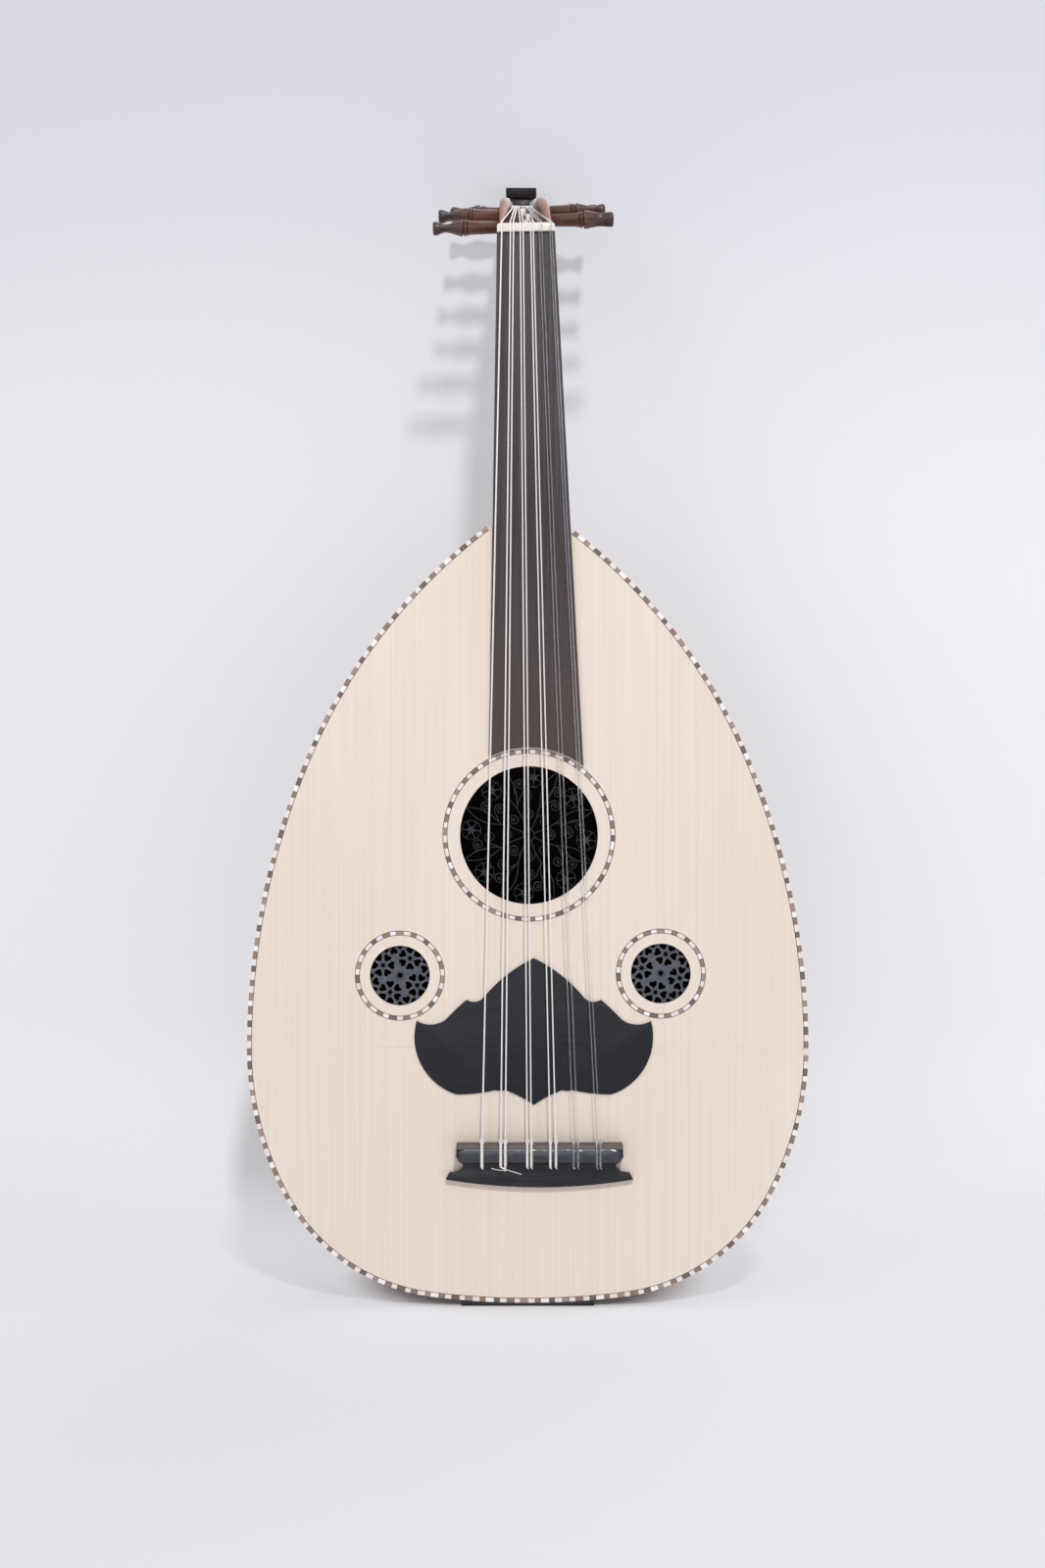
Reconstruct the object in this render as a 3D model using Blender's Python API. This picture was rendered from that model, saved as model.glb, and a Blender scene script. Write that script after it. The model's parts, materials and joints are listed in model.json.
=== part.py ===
# Mini oud: a short fretless lute with a ribbed bowl, eleven strings and eleven friction pegs.
# It stands on its tail, strings facing -Y, bowl behind at +Y, treble side at +X. Metres, +Z up.

import math

import bpy
import bmesh
from mathutils import Matrix, Vector
from mathutils.geometry import delaunay_2d_cdt

# Clearance that neighbouring pieces keep where they touch.
GAP = 0.0003

# Body outline: five compass arcs a side. Heights count from the tail edge of the soundboard.
BODY_HALF_WIDTH = 0.1661
WIDEST_HEIGHT = 0.1506
TAIL_RADIUS = 0.456
CORNER_RADIUS = 0.1145
HIP_RADIUS = 0.1845
FLANK_RADIUS = 0.440
SHOULDER_HEIGHT = 0.327
JOINT_HEIGHT = 0.4595
JOINT_OVERHANG = 0.00225

# Bowl.
BOWL_DEPTH = 0.161
RIB_COUNT = 15
RIB_THICKNESS = 0.0028
RIB_END_HALF_WIDTH = 0.008

# Soundboard, its binding and its holes. The holes sit a little off the body's axis, as in the photo.
SOUNDBOARD_THICKNESS = 0.0018
REBATE_DEPTH = 0.0012
BINDING_WIDTH = 0.0034
MAIN_HOLE_RADIUS = 0.0408
MAIN_HOLE_X = 0.00075
MAIN_HOLE_Z = 0.2767
SMALL_HOLE_RADIUS = 0.0177
SMALL_HOLE_X = (-0.0756, 0.0788)
SMALL_HOLE_Z = (0.1936, 0.1948)
MAIN_RING_RADIUS = 0.0497
MAIN_RING_WIDTH = 0.0034
SMALL_RING_RADIUS = 0.0252
SMALL_RING_WIDTH = 0.0031

# Rosette plates behind the holes.
ROSETTE_THICKNESS = 0.002
ROSETTE_OVERLAP = 0.0034

# Main rosette: reaches and sizes are shares of the hole's radius, angles are degrees from a sector's flower.
MAIN_SECTORS = 8
FLOWER_ANGLE = math.radians(-5)
SCROLL_WIDTH = 0.0011
SCROLL_RADIUS = 0.0031
SCROLL_TURNS = 1.1
SCROLL_STEPS = 6
SCROLL_DRAW_IN = 0.6
HUB_REACH = 0.085
STEM_ANGLE = 27
FORK_REACH = 0.45
FORK_ANGLE = 29
LEAF_TIP_ANGLE = 26
LEAF_BOWS = (0.07, -0.06)
FLOWER_REACH = 0.84
FLOWER_SIZE = 0.150
PETALS = 6
PETAL_REACH = 0.090
PETAL_SIZE = 0.040

# Each scroll: reach and angle of its root on the stem or the leaf, then reach and angle of its middle.
SCROLLS = ((0.30, 27, 0.29, 7), (0.45, 29, 0.55, 8), (0.62, 24, 0.75, 16.5))

# Small rosettes: four clusters of hearts round stars. Reaches and sizes are shares of the hole's radius.
LATTICE_TURN = (math.radians(60), math.radians(75))
CLUSTER_REACH = 0.64
OUTER_CLUSTER_REACH = 1.10
HEART_REACH = 0.275
HEART_SIZE = 0.25
OUTER_HEART_SIZE = 0.22
CLUSTER_STAR = (0.125, 0.06)
CENTRE_STAR = (0.17, 0.07)

# A heart's outline as (along, across) shares of its size, its point first.
HEART_OUTLINE = ((-0.50, 0.0), (-0.02, 0.46), (0.36, 0.42), (0.30, 0.0), (0.36, -0.42), (-0.02, -0.46))

# Soundboard braces: heights from the tail, and the bar itself.
BRACE_HEIGHTS = (0.1660, 0.2238, 0.3300)
BRACE_WIDTH = 0.005
BRACE_DEPTH = 0.012
BRACE_END_GAP = 0.002
BRACE_END_SLANT = 0.002
BRACE_TIP_SHARE = 0.3
BRACE_BACK_SHARE = 0.82

# Neck, in its own frame: it leans a little across the body's axis, and its top face is at y = 0.
NECK_OFFSET = 0.0023
NECK_LEAN = math.radians(-1.11)
NECK_LENGTH = 0.1739
NECK_DEPTH_AT_JOINT = 0.0240
NECK_DEPTH_AT_NUT = 0.0195
NECK_FULLNESS = 0.8
NECK_END_SLOPE = 0.35
HEEL_FLARE = 0.12
HEEL_LENGTH = 0.0215
NUT_WIDTH = 0.0342
NUT_THICKNESS = 0.0052
NUT_HEIGHT = 0.0036
NUT_CROWN = 0.0008
NUT_CORNER = 0.0013
FINGERBOARD_THICKNESS = 0.0020
FINGERBOARD_WIDTH_AT_JOINT = 0.0447
FINGERBOARD_WIDTH_AT_END = 0.0557

# Pegbox: a line that bends back from the neck, runs nearly level and sweeps up to the finial.
# Lean is the line's angle above the horizontal, and distances run along the line from its start.
PEGBOX_START_DEPTH = 0.0063
LEAN_NEAR = math.radians(34.5)
LEAN_FAR = math.radians(13)
LEAN_TIP = math.radians(60)
HUMP_START = 0.030
HUMP_END = 0.048
SWEEP_START = 0.114
SWEEP_END = 0.150
OPENING_RISE_NEAR = 0.0074
OPENING_RISE_HUMP = 0.0092
OPENING_RISE_FAR = 0.0066
TROUGH_DEPTH_NEAR = 0.0120
TROUGH_DEPTH_FAR = 0.0085
PEGBOX_HALF_WIDTH_NEAR = 0.01575
PEGBOX_HALF_WIDTH_FAR = 0.0125
CHEEK_THICKNESS = 0.0065
CHEEK_THICKNESS_AT_NUT = 0.0024
CHEEK_FLARE = (0.006, 0.036)
CROWN_SHARE = 0.35
FLOOR_THICKNESS = 0.003

# Finial: a plug between the cheeks' ends, a cove and a block, with their reaches as shares of its length.
PLUG_CLEARANCE = 0.0026
PLUG_LENGTH = 0.0055
FINIAL_LENGTH = 0.012
FINIAL_SHOULDER = 0.0106
FINIAL_TOP = 0.0170
FINIAL_HALF_WIDTH = 0.00975
FINIAL_REACHES = (0.55, 0.75, 0.80, 0.92, 1.0, 1.05)
FINIAL_TOP_SHIFT = 0.05
COVE_WIDENING = (0.45, 0.75)

# Pegs, alternately from the left and from the right, the first one nearest the nut.
FIRST_PEG = 0.0138
PEG_PITCH = 0.010
PEG_REACH = (0.0400, 0.0385, 0.0372, 0.0350, 0.0300, 0.0320, 0.0315, 0.0310, 0.0310, 0.0305, 0.0305)
PEG_TURNS = (90, 5, 78, 72, 60, 20, 45, 75, 30, 55, 85)
PEG_TIP_RADIUS = 0.0028
PEG_SHAFT_RADIUS = 0.0031
PEG_COLLAR_RADIUS = 0.0039
PEG_HEAD_LENGTH = 0.0175
PEG_BEAD_RADIUS = 0.0050
PEG_FLARE_RADIUS = 0.0053
PEG_WAIST_THICK = 0.0023
PEG_WAIST_WIDE = 0.0039
PEG_KNOB_RADIUS = 0.0042
PEG_BEAD_LENGTH = 0.0022
PEG_TIP_SETBACK = 0.0004
PEG_SEAT = 0.0005
PEG_SIDES = 10

# A peg's head past its flare, as shares: of its length, of the thick radius and of the wide radius.
WAIST_SHARE = 0.45
KNOB_SHARES = (0.85, 0.9, 1.0)
END_SHARES = (1.0, 0.75, 0.85)

# Strings: course centres across the nut and across the bridge, the single bass first.
NUT_COURSES = (-0.0143, -0.0083, -0.0025, 0.0035, 0.0085, 0.0146)
BRIDGE_COURSES = (-0.0270, -0.01465, 0.0008, 0.01475, 0.02805, 0.04145)
PAIR_SPACINGS_AT_NUT = (0.0, 0.0018, 0.0017, 0.0015, 0.0016, 0.0013)
PAIR_SPACINGS_AT_BRIDGE = (0.0, 0.0027, 0.0024, 0.0033, 0.0027, 0.0021)
STRING_DIAMETERS = (0.0010, 0.0009, 0.0008, 0.0008, 0.0007, 0.0007)

# Which peg each string winds on, nearest the nut first: the middle strings take the near pegs.
# Lanes are places across the pegbox: where a string bends over the third peg, and at its own peg.
PEG_OF_STRING = (10, 8, 6, 4, 2, 0, 1, 3, 5, 7, 9)
HUMP_LANES = (-0.0071, -0.0058, -0.0046, -0.0034, -0.0022, 0.0024, 0.0036, 0.0016, 0.0028, 0.0039, 0.0050)
PEG_LANES = (-0.0040, -0.0034, -0.0030, -0.0027, -0.0022, 0.0024, 0.0036, 0.0014, 0.0017, 0.0022, 0.0029)
BENDING_PEG = 2
WINDING_TURNS = 2
WINDING_SPACE = 0.0005
POINTS_PER_TURN = 8

# A string's tied end, as steps in depth and height: rising to the block, lying on it (from its front and
# from its back edge), over the back edge, round behind it, into the hole and out at the front.
TIE_RISE = (0.0012, 0.0010)
TIE_LEVEL = (0.0022, 0.0030)
TIE_EDGE = (0.0016, 0.0004)
TIE_ROUND = (0.0016, 0.0006)
TIE_ENTRY = 0.0004
TIE_STUB = 0.0006

# Bridge.
BRIDGE_X = 0.0069
BRIDGE_WIDTH = 0.0979
BRIDGE_FRONT_Z = 0.0951
TIE_BLOCK_LENGTH = 0.0118
TIE_BLOCK_HEIGHT = 0.0108
TIE_BLOCK_CORNER = 0.0038
BRIDGE_NECKING = 0.0900
BRIDGE_FOOT_WIDTH = 0.1107
BRIDGE_FOOT_HEIGHT = 0.0036
BRIDGE_TAIL_Z = 0.0689
BRIDGE_TIP_Z = 0.0735
EAR_HEIGHT_SHARE = 0.4
STRING_HOLE_HEIGHT = 0.0080
STRING_HOLE_RADIUS = 0.0009
HOLE_OVERRUN = 0.004

# The foot's side between the block and the tips, as shares of its widening and of its way down.
EAR_CURVE = ((0.0, 0.2), (0.06, 0.5), (0.30, 0.88), (0.80, 1.0))

# The tie block's rounded ends, as shares of the corner: inwards from the end and forwards from the back.
BLOCK_END_CURVE = ((0.0, 0.9), (0.28, 0.4), (1.0, 0.0))

# The tie block's section as (distance, depth below its top): a shelf and a groove, measured from the front
# edge, and the back of the rounded bar, measured from the rear edge.
SHELF_PROFILE = (
    (0.0, 0.0014), (0.0006, 0.0008), (0.0034, 0.0004), (0.0038, 0.0010), (0.0042, 0.0003), (0.0048, 0.0),
)
BAR_BACK_PROFILE = ((0.0034, 0.0), (0.0014, 0.0010), (0.0, 0.0034))

# Pickguard.
PICKGUARD_X = 0.0036
PICKGUARD_THICKNESS = 0.0008

# End clasp under the tail, and the inner blocks.
CLASP_THICKNESS = 0.0020
CLASP_HALF_WIDTH = 0.0394
CLASP_DEPTH = 0.034
FOOT_CENTRE_DEPTH = 0.012
TAIL_BLOCK_HALF_WIDTH = 0.042
TAIL_BLOCK_DEPTH = 0.044
TAIL_BLOCK_HEIGHT = 0.020
NECK_BLOCK_LENGTH = 0.034

# Facets.
OUTLINE_STEPS = (6, 5, 4, 7, 3)
RIB_STEPS = (4, 3, 3, 4, 2)
MAIN_HOLE_SIDES = 36
SMALL_HOLE_SIDES = 24


def clear_scene():
    for obj in list(bpy.data.objects):
        bpy.data.objects.remove(obj, do_unlink=True)


def plain_material(name, colour, roughness, metallic=0.0):
    material = bpy.data.materials.new(name)
    material.use_nodes = True
    shader = material.node_tree.nodes["Principled BSDF"]
    shader.inputs["Base Color"].default_value = (*colour, 1.0)
    shader.inputs["Roughness"].default_value = roughness
    shader.inputs["Metallic"].default_value = metallic
    material.diffuse_color = (*colour, 1.0)
    return material


# Geometry helpers

def finish_mesh(name, builder, material, parent, smooth_angle=None):
    bmesh.ops.recalc_face_normals(builder, faces=builder.faces)
    mesh = bpy.data.meshes.new(name)
    builder.to_mesh(mesh)
    builder.free()
    mesh.materials.append(material)
    if smooth_angle is not None:
        mesh.shade_smooth()
        mesh.set_sharp_from_angle(angle=smooth_angle)
    obj = bpy.data.objects.new(name, mesh)
    obj.parent = parent
    bpy.context.scene.collection.objects.link(obj)
    return obj


# A skin over loops of equal length. A ring joins its last loop to its first, and others get end faces.
def loft(name, loops, material, parent, ring=False, smooth_angle=None):
    builder = bmesh.new()
    rows = [[builder.verts.new(point) for point in loop] for loop in loops]
    spans = list(zip(rows, rows[1:]))
    if ring:
        spans.append((rows[-1], rows[0]))
    else:
        builder.faces.new(rows[0])
        builder.faces.new(reversed(rows[-1]))
    for near, far in spans:
        for i in range(len(near)):
            j = (i + 1) % len(near)
            builder.faces.new((near[i], near[j], far[j], far[i]))
    return finish_mesh(name, builder, material, parent, smooth_angle)


# A flat plate: an outline of (x, z) points, from its front face to its back face along Y.
def plate(name, outline, front, back, material, parent):
    loops = [[Vector((x, y, z)) for x, z in outline] for y in (front, back)]
    return loft(name, loops, material, parent)


def circle(radius, sides, centre=(0.0, 0.0), turn=0.0):
    step = 2 * math.pi / sides
    return [
        (centre[0] + radius * math.cos(turn + i * step), centre[1] + radius * math.sin(turn + i * step))
        for i in range(sides)
    ]


# A flat ring of rectangular section, let into a face or cut out of it.
def flat_ring(name, centre, outer, inner, front, back, sides, material, parent):
    loops = []
    for (cos, sin) in circle(1.0, sides):
        corners = ((outer, front), (inner, front), (inner, back), (outer, back))
        loops.append([Vector((centre[0] + r * cos, y, centre[1] + r * sin)) for r, y in corners])
    return loft(name, loops, material, parent, ring=True)


def cut(target, cutters):
    for cutter in cutters:
        cutter.hide_render = True
        cutter.display_type = "WIRE"
        modifier = target.modifiers.new(cutter.name, "BOOLEAN")
        modifier.object = cutter
        modifier.solver = "EXACT"
        modifier.operation = "DIFFERENCE"


def smooth_step(value, start, end):
    t = min(1.0, max(0.0, (value - start) / (end - start)))
    return t * t * (3 - 2 * t)


def mix(a, b, t):
    return a + (b - a) * t


# Body outline

def arc_points(centre, radius, start, end, steps):
    return [
        (
            centre[0] + radius * math.cos(mix(start, end, i / steps)),
            centre[1] + radius * math.sin(mix(start, end, i / steps)),
        )
        for i in range(steps + 1)
    ]


# The corner arc's centre lies where it touches both the hip arc and the tail arc from inside.
def corner_centre():
    hip = Vector((BODY_HALF_WIDTH - HIP_RADIUS, WIDEST_HEIGHT))
    tail = Vector((0.0, TAIL_RADIUS))
    from_hip = HIP_RADIUS - CORNER_RADIUS
    from_tail = TAIL_RADIUS - CORNER_RADIUS
    between = tail - hip
    along = (from_hip ** 2 - from_tail ** 2 + between.length_squared) / (2 * between.length)
    across = math.sqrt(from_hip ** 2 - along ** 2)
    unit = between.normalized()
    side = Vector((unit.y, -unit.x))
    return hip + unit * along + side * across


# Half outline as (half width, height), from the neck joint down to the tail, drawn inside by an inset.
def half_outline(steps, inset=0.0):
    flank = Vector((BODY_HALF_WIDTH - FLANK_RADIUS, WIDEST_HEIGHT))
    flank_angle = math.asin((SHOULDER_HEIGHT - WIDEST_HEIGHT) / FLANK_RADIUS)
    toward_shoulder = Vector((math.cos(flank_angle), math.sin(flank_angle)))
    # The shoulder arc leaves the flank smoothly and ends just beside the fingerboard at the joint.
    meeting = flank + toward_shoulder * FLANK_RADIUS
    joint = Vector((FINGERBOARD_WIDTH_AT_JOINT / 2 + JOINT_OVERHANG, JOINT_HEIGHT))
    rise = joint - meeting
    shoulder_radius = -rise.length_squared / (2 * rise.dot(toward_shoulder))
    shoulder = meeting - toward_shoulder * shoulder_radius
    top_angle = math.asin((JOINT_HEIGHT - shoulder.y) / (shoulder_radius - inset))
    hip = Vector((BODY_HALF_WIDTH - HIP_RADIUS, WIDEST_HEIGHT))
    corner = corner_centre()
    tail = Vector((0.0, TAIL_RADIUS))
    hip_angle = math.atan2(corner.y - hip.y, corner.x - hip.x)
    corner_angle = math.atan2(corner.y - tail.y, corner.x - tail.x)
    arcs = (
        (shoulder, shoulder_radius, top_angle, flank_angle),
        (flank, FLANK_RADIUS, flank_angle, 0.0),
        (hip, HIP_RADIUS, 0.0, hip_angle),
        (corner, CORNER_RADIUS, hip_angle, corner_angle),
        (tail, TAIL_RADIUS, corner_angle, -math.pi / 2),
    )
    points = []
    for (centre, radius, start, end), count in zip(arcs, steps):
        points += arc_points(centre, radius - inset, start, end, count)[bool(points):]
    return points


def whole_outline(steps, inset=0.0):
    right = half_outline(steps, inset)
    return right + [(-x, z) for x, z in reversed(right[:-1])]


def half_width_at(height, inset=0.0):
    points = half_outline(OUTLINE_STEPS, inset)
    for (x0, z0), (x1, z1) in zip(points, points[1:]):
        if z1 <= height <= z0:
            return mix(x0, x1, (z0 - height) / (z0 - z1))
    return points[0][0]


# Bowl: every rib follows the outline, turned about the body's axis behind the soundboard.
BOWL_FACE = SOUNDBOARD_THICKNESS + GAP
DEPTH_RATIO = BOWL_DEPTH / BODY_HALF_WIDTH


def bowl_stations():
    points = half_outline(RIB_STEPS)
    kept = [point for point in points if point[0] > RIB_END_HALF_WIDTH]
    (x0, z0), (x1, z1) = kept[-1], points[len(kept)]
    t = (x0 - RIB_END_HALF_WIDTH) / (x0 - x1)
    return kept + [(RIB_END_HALF_WIDTH, mix(z0, z1, t))]


# A point of the bowl at a station and an angle round it, sunk below the outer face and moved sideways.
def bowl_point(stations, i, angle, sink, shift=0.0):
    width, height = stations[i]
    before = stations[max(i - 1, 0)]
    after = stations[min(i + 1, len(stations) - 1)]
    slope = Vector((before[0] - after[0], before[1] - after[1])).normalized()
    cos, sin = math.cos(angle), math.sin(angle)
    along = Vector((slope.x * cos, slope.x * sin * DEPTH_RATIO, slope.y))
    around = Vector((-sin, cos * DEPTH_RATIO, 0.0)).normalized()
    outward = around.cross(along).normalized()
    surface = Vector((width * cos, BOWL_FACE + width * sin * DEPTH_RATIO, height))
    return surface - outward * sink + around * shift


def make_ribs(material, parent):
    stations = bowl_stations()
    step = math.pi / RIB_COUNT
    for k in range(RIB_COUNT):
        near, far = k * step, (k + 1) * step
        near_shift = GAP / 2 if k else 0.0
        far_shift = -GAP / 2 if k < RIB_COUNT - 1 else 0.0
        loops = []
        for i in range(len(stations)):
            loops.append([
                bowl_point(stations, i, near, 0.0, near_shift),
                bowl_point(stations, i, far, 0.0, far_shift),
                bowl_point(stations, i, far, RIB_THICKNESS, far_shift),
                bowl_point(stations, i, near, RIB_THICKNESS, near_shift),
            ])
        loft(f"rib_{k + 1:02d}", loops, material, parent)


# A pad that follows the tail of the bowl on one face and is flat on the other.
def tail_pad(name, half_width, depth, start, flat, sink, lift, material, parent):
    rings = (0.35, 0.7, 1.0)
    spokes = 12
    builder = bmesh.new()

    def place(fraction, angle, level):
        x = half_width * fraction * math.cos(angle)
        y = start + depth * fraction * math.sin(angle)
        reach = math.hypot(x, (y - BOWL_FACE) / DEPTH_RATIO)
        curved = TAIL_RADIUS - math.sqrt(TAIL_RADIUS ** 2 - reach ** 2) + sink
        return builder.verts.new((x, y, flat if level else curved + lift))

    sheets = []
    for level in (0, 1):
        middle = place(0.0, 0.0, level)
        rows = [[place(f, math.pi * j / spokes, level) for j in range(spokes + 1)] for f in rings]
        for j in range(spokes):
            builder.faces.new((middle, rows[0][j], rows[0][j + 1]))
        for inner, outer in zip(rows, rows[1:]):
            for j in range(spokes):
                builder.faces.new((inner[j], outer[j], outer[j + 1], inner[j + 1]))
        straight = [row[-1] for row in reversed(rows)] + [middle] + [row[0] for row in rows]
        sheets.append(rows[-1] + straight[1:-1])
    for i in range(len(sheets[0])):
        j = (i + 1) % len(sheets[0])
        builder.faces.new((sheets[0][i], sheets[0][j], sheets[1][j], sheets[1][i]))
    return finish_mesh(name, builder, material, parent)


def make_neck_block(material, parent):
    stations = bowl_stations()
    sink = RIB_THICKNESS + GAP
    angles = [math.pi * j / RIB_COUNT for j in range(RIB_COUNT + 1)]
    cut_height = JOINT_HEIGHT - NECK_BLOCK_LENGTH
    loops = []
    for i in range(len(stations) - 1):
        loop = [bowl_point(stations, i, angle, sink) for angle in angles]
        after = [bowl_point(stations, i + 1, angle, sink) for angle in angles]
        loops.append(loop)
        if after[0].z < cut_height:
            t = (loop[0].z - cut_height) / (loop[0].z - after[0].z)
            loops.append([a.lerp(b, t) for a, b in zip(loop, after)])
            break
    loft("neck_block", loops, material, parent)


# Soundboard and what is let into it

HOLES = (
    ("main", (MAIN_HOLE_X, MAIN_HOLE_Z), MAIN_HOLE_RADIUS, MAIN_RING_RADIUS, MAIN_RING_WIDTH, MAIN_HOLE_SIDES),
    ("left", (SMALL_HOLE_X[0], SMALL_HOLE_Z[0]), SMALL_HOLE_RADIUS, SMALL_RING_RADIUS, SMALL_RING_WIDTH,
     SMALL_HOLE_SIDES),
    ("right", (SMALL_HOLE_X[1], SMALL_HOLE_Z[1]), SMALL_HOLE_RADIUS, SMALL_RING_RADIUS, SMALL_RING_WIDTH,
     SMALL_HOLE_SIDES),
)


# The board's front face is drawn in by the binding's seat, so its edge is stepped except at the neck joint.
def stepped_board(material, parent):
    full = whole_outline(OUTLINE_STEPS)
    drawn_in = whole_outline(OUTLINE_STEPS, BINDING_WIDTH + GAP)
    levels = ((full, SOUNDBOARD_THICKNESS), (full, REBATE_DEPTH), (drawn_in, REBATE_DEPTH), (drawn_in, 0.0))
    builder = bmesh.new()
    rows = [[builder.verts.new((x, y, z)) for x, z in outline] for outline, y in levels]
    builder.faces.new(rows[0])
    builder.faces.new(rows[-1])
    builder.faces.new([row[0] for row in rows] + [row[-1] for row in reversed(rows)])
    for near, far in zip(rows, rows[1:]):
        for i in range(len(near) - 1):
            builder.faces.new((near[i], near[i + 1], far[i + 1], far[i]))
    return finish_mesh("soundboard", builder, material, parent)


def make_binding(tile, parent):
    outer = whole_outline(OUTLINE_STEPS)
    inner = whole_outline(OUTLINE_STEPS, BINDING_WIDTH)
    back = REBATE_DEPTH - GAP
    loops = []
    for (x0, z0), (x1, z1) in zip(outer, inner):
        corners = ((x0, 0.0, z0), (x1, 0.0, z1), (x1, back, z1), (x0, back, z0))
        loops.append([Vector(corner) for corner in corners])
    loft("edge_binding", loops, tile, parent)


def make_soundboard(spruce, tile, parent):
    board = stepped_board(spruce, parent)
    above = -SOUNDBOARD_THICKNESS
    through = 2 * SOUNDBOARD_THICKNESS
    cutters = []
    for label, centre, radius, ring_radius, ring_width, sides in HOLES:
        half = ring_width / 2
        outline = circle(radius, sides, centre)
        cutters.append(plate(f"{label}_hole_cutter", outline, above, through, tile, parent))
        cutters.append(flat_ring(f"{label}_groove_cutter", centre, ring_radius + half + GAP,
                                 ring_radius - half - GAP, above, REBATE_DEPTH, sides, tile, parent))
        flat_ring(f"{label}_tile_ring", centre, ring_radius + half, ring_radius - half, 0.0,
                  REBATE_DEPTH - GAP, sides, tile, parent)
    cut(board, cutters)
    make_binding(tile, parent)


def make_braces(spruce, parent):
    for number, height in enumerate(BRACE_HEIGHTS, 1):
        reach = min(half_width_at(height - BRACE_WIDTH / 2, RIB_THICKNESS + GAP),
                    half_width_at(height + BRACE_WIDTH / 2, RIB_THICKNESS + GAP))
        # The bowl turns in behind the soundboard, so the bar's ends are cut away at their back.
        deep = BOWL_FACE + BRACE_DEPTH
        tip = BOWL_FACE + BRACE_DEPTH * BRACE_TIP_SHARE
        end = reach - BRACE_END_GAP
        slanted = end - BRACE_END_SLANT
        back = reach * BRACE_BACK_SHARE
        profile = ((-end, BOWL_FACE), (end, BOWL_FACE), (slanted, tip),
                   (back, deep), (-back, deep), (-slanted, tip))
        loops = [[Vector((x, y, height + side * BRACE_WIDTH / 2)) for x, y in profile] for side in (-1, 1)]
        loft(f"brace_{number}", loops, spruce, parent)


# Pierced plates. Shapes are painted in order: one that adds, then one that cuts, and so on.

def signed_area(outline):
    area = 0.0
    for (x0, z0), (x1, z1) in zip(outline, outline[1:] + outline[:1]):
        area += (x0 * z1 - x1 * z0) / 2
    return area


def pierced_plate(name, centre, shapes, front, material, parent):
    # The triangulation works in millimetres, where its tolerance suits these shapes.
    scale = 1000.0
    points = []
    faces = []
    for _, outline in shapes:
        # A face counts as filled only when its corners run anticlockwise.
        corners = outline if signed_area(outline) > 0 else outline[::-1]
        faces.append(list(range(len(points), len(points) + len(corners))))
        points += [Vector((x * scale, z * scale)) for x, z in corners]
    verts, _, triangles, _, _, owners = delaunay_2d_cdt(points, [], faces, 1, 1e-4, True)
    builder = bmesh.new()
    made = [builder.verts.new((centre[0] + v.x / scale, front, centre[1] + v.y / scale)) for v in verts]
    for triangle, owner in zip(triangles, owners):
        solid = False
        for index in sorted(owner):
            solid = shapes[index][0]
        if solid:
            builder.faces.new([made[i] for i in triangle])
    loose = [vert for vert in builder.verts if not vert.link_faces]
    bmesh.ops.delete(builder, geom=loose, context="VERTS")
    bmesh.ops.dissolve_limit(builder, angle_limit=math.radians(1), verts=builder.verts, edges=builder.edges)
    bmesh.ops.triangulate(builder, faces=builder.faces)
    bottom = bmesh.ops.extrude_face_region(builder, geom=builder.faces[:])
    moved = [item for item in bottom["geom"] if isinstance(item, bmesh.types.BMVert)]
    bmesh.ops.translate(builder, verts=moved, vec=(0.0, ROSETTE_THICKNESS, 0.0))
    return finish_mesh(name, builder, material, parent)


# A ribbon of a given width along a line of points.
def ribbon(line, width):
    left, right = [], []
    for i, (x, z) in enumerate(line):
        x0, z0 = line[max(i - 1, 0)]
        x1, z1 = line[min(i + 1, len(line) - 1)]
        length = math.hypot(x1 - x0, z1 - z0)
        nx, nz = -(z1 - z0) / length, (x1 - x0) / length
        left.append((x + nx * width / 2, z + nz * width / 2))
        right.append((x - nx * width / 2, z - nz * width / 2))
    return left + right[::-1]


def polar(radius, angle):
    return (radius * math.cos(angle), radius * math.sin(angle))


# A bent line between two polar points, bowed sideways at its middle.
def bowed_line(start, end, bow, steps):
    (x0, z0), (x1, z1) = polar(*start), polar(*end)
    length = math.hypot(x1 - x0, z1 - z0)
    nx, nz = -(z1 - z0) / length, (x1 - x0) / length
    points = []
    for i in range(steps + 1):
        t = i / steps
        lift = bow * math.sin(math.pi * t)
        points.append((mix(x0, x1, t) + nx * lift, mix(z0, z1, t) + nz * lift))
    return points


# A scroll: a tangent from where it grows to its circle, then clockwise and inwards round its centre.
def scroll_line(root, centre, radius, steps):
    reach = math.hypot(root[0] - centre[0], root[1] - centre[1])
    start = math.atan2(root[1] - centre[1], root[0] - centre[0]) - math.acos(min(1.0, radius / reach))
    points = [root]
    for i in range(steps + 1):
        t = i / steps
        r = radius * (1 - SCROLL_DRAW_IN * t * t)
        angle = start - SCROLL_TURNS * 2 * math.pi * t
        points.append((centre[0] + r * math.cos(angle), centre[1] + r * math.sin(angle)))
    return points


def arabesque_shapes():
    rim = MAIN_HOLE_RADIUS + ROSETTE_OVERLAP
    inner_rim = MAIN_HOLE_RADIUS - SCROLL_WIDTH
    shapes = [(True, circle(rim, MAIN_HOLE_SIDES)), (False, circle(inner_rim, MAIN_HOLE_SIDES))]
    hub = HUB_REACH * MAIN_HOLE_RADIUS
    shapes.append((True, circle(hub + SCROLL_WIDTH, 16)))
    for k in range(MAIN_SECTORS):
        turn = FLOWER_ANGLE + k * 2 * math.pi / MAIN_SECTORS
        shapes += arabesque_sector(turn, hub, inner_rim)
    shapes.append((False, circle(hub, 16)))
    return shapes


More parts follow.
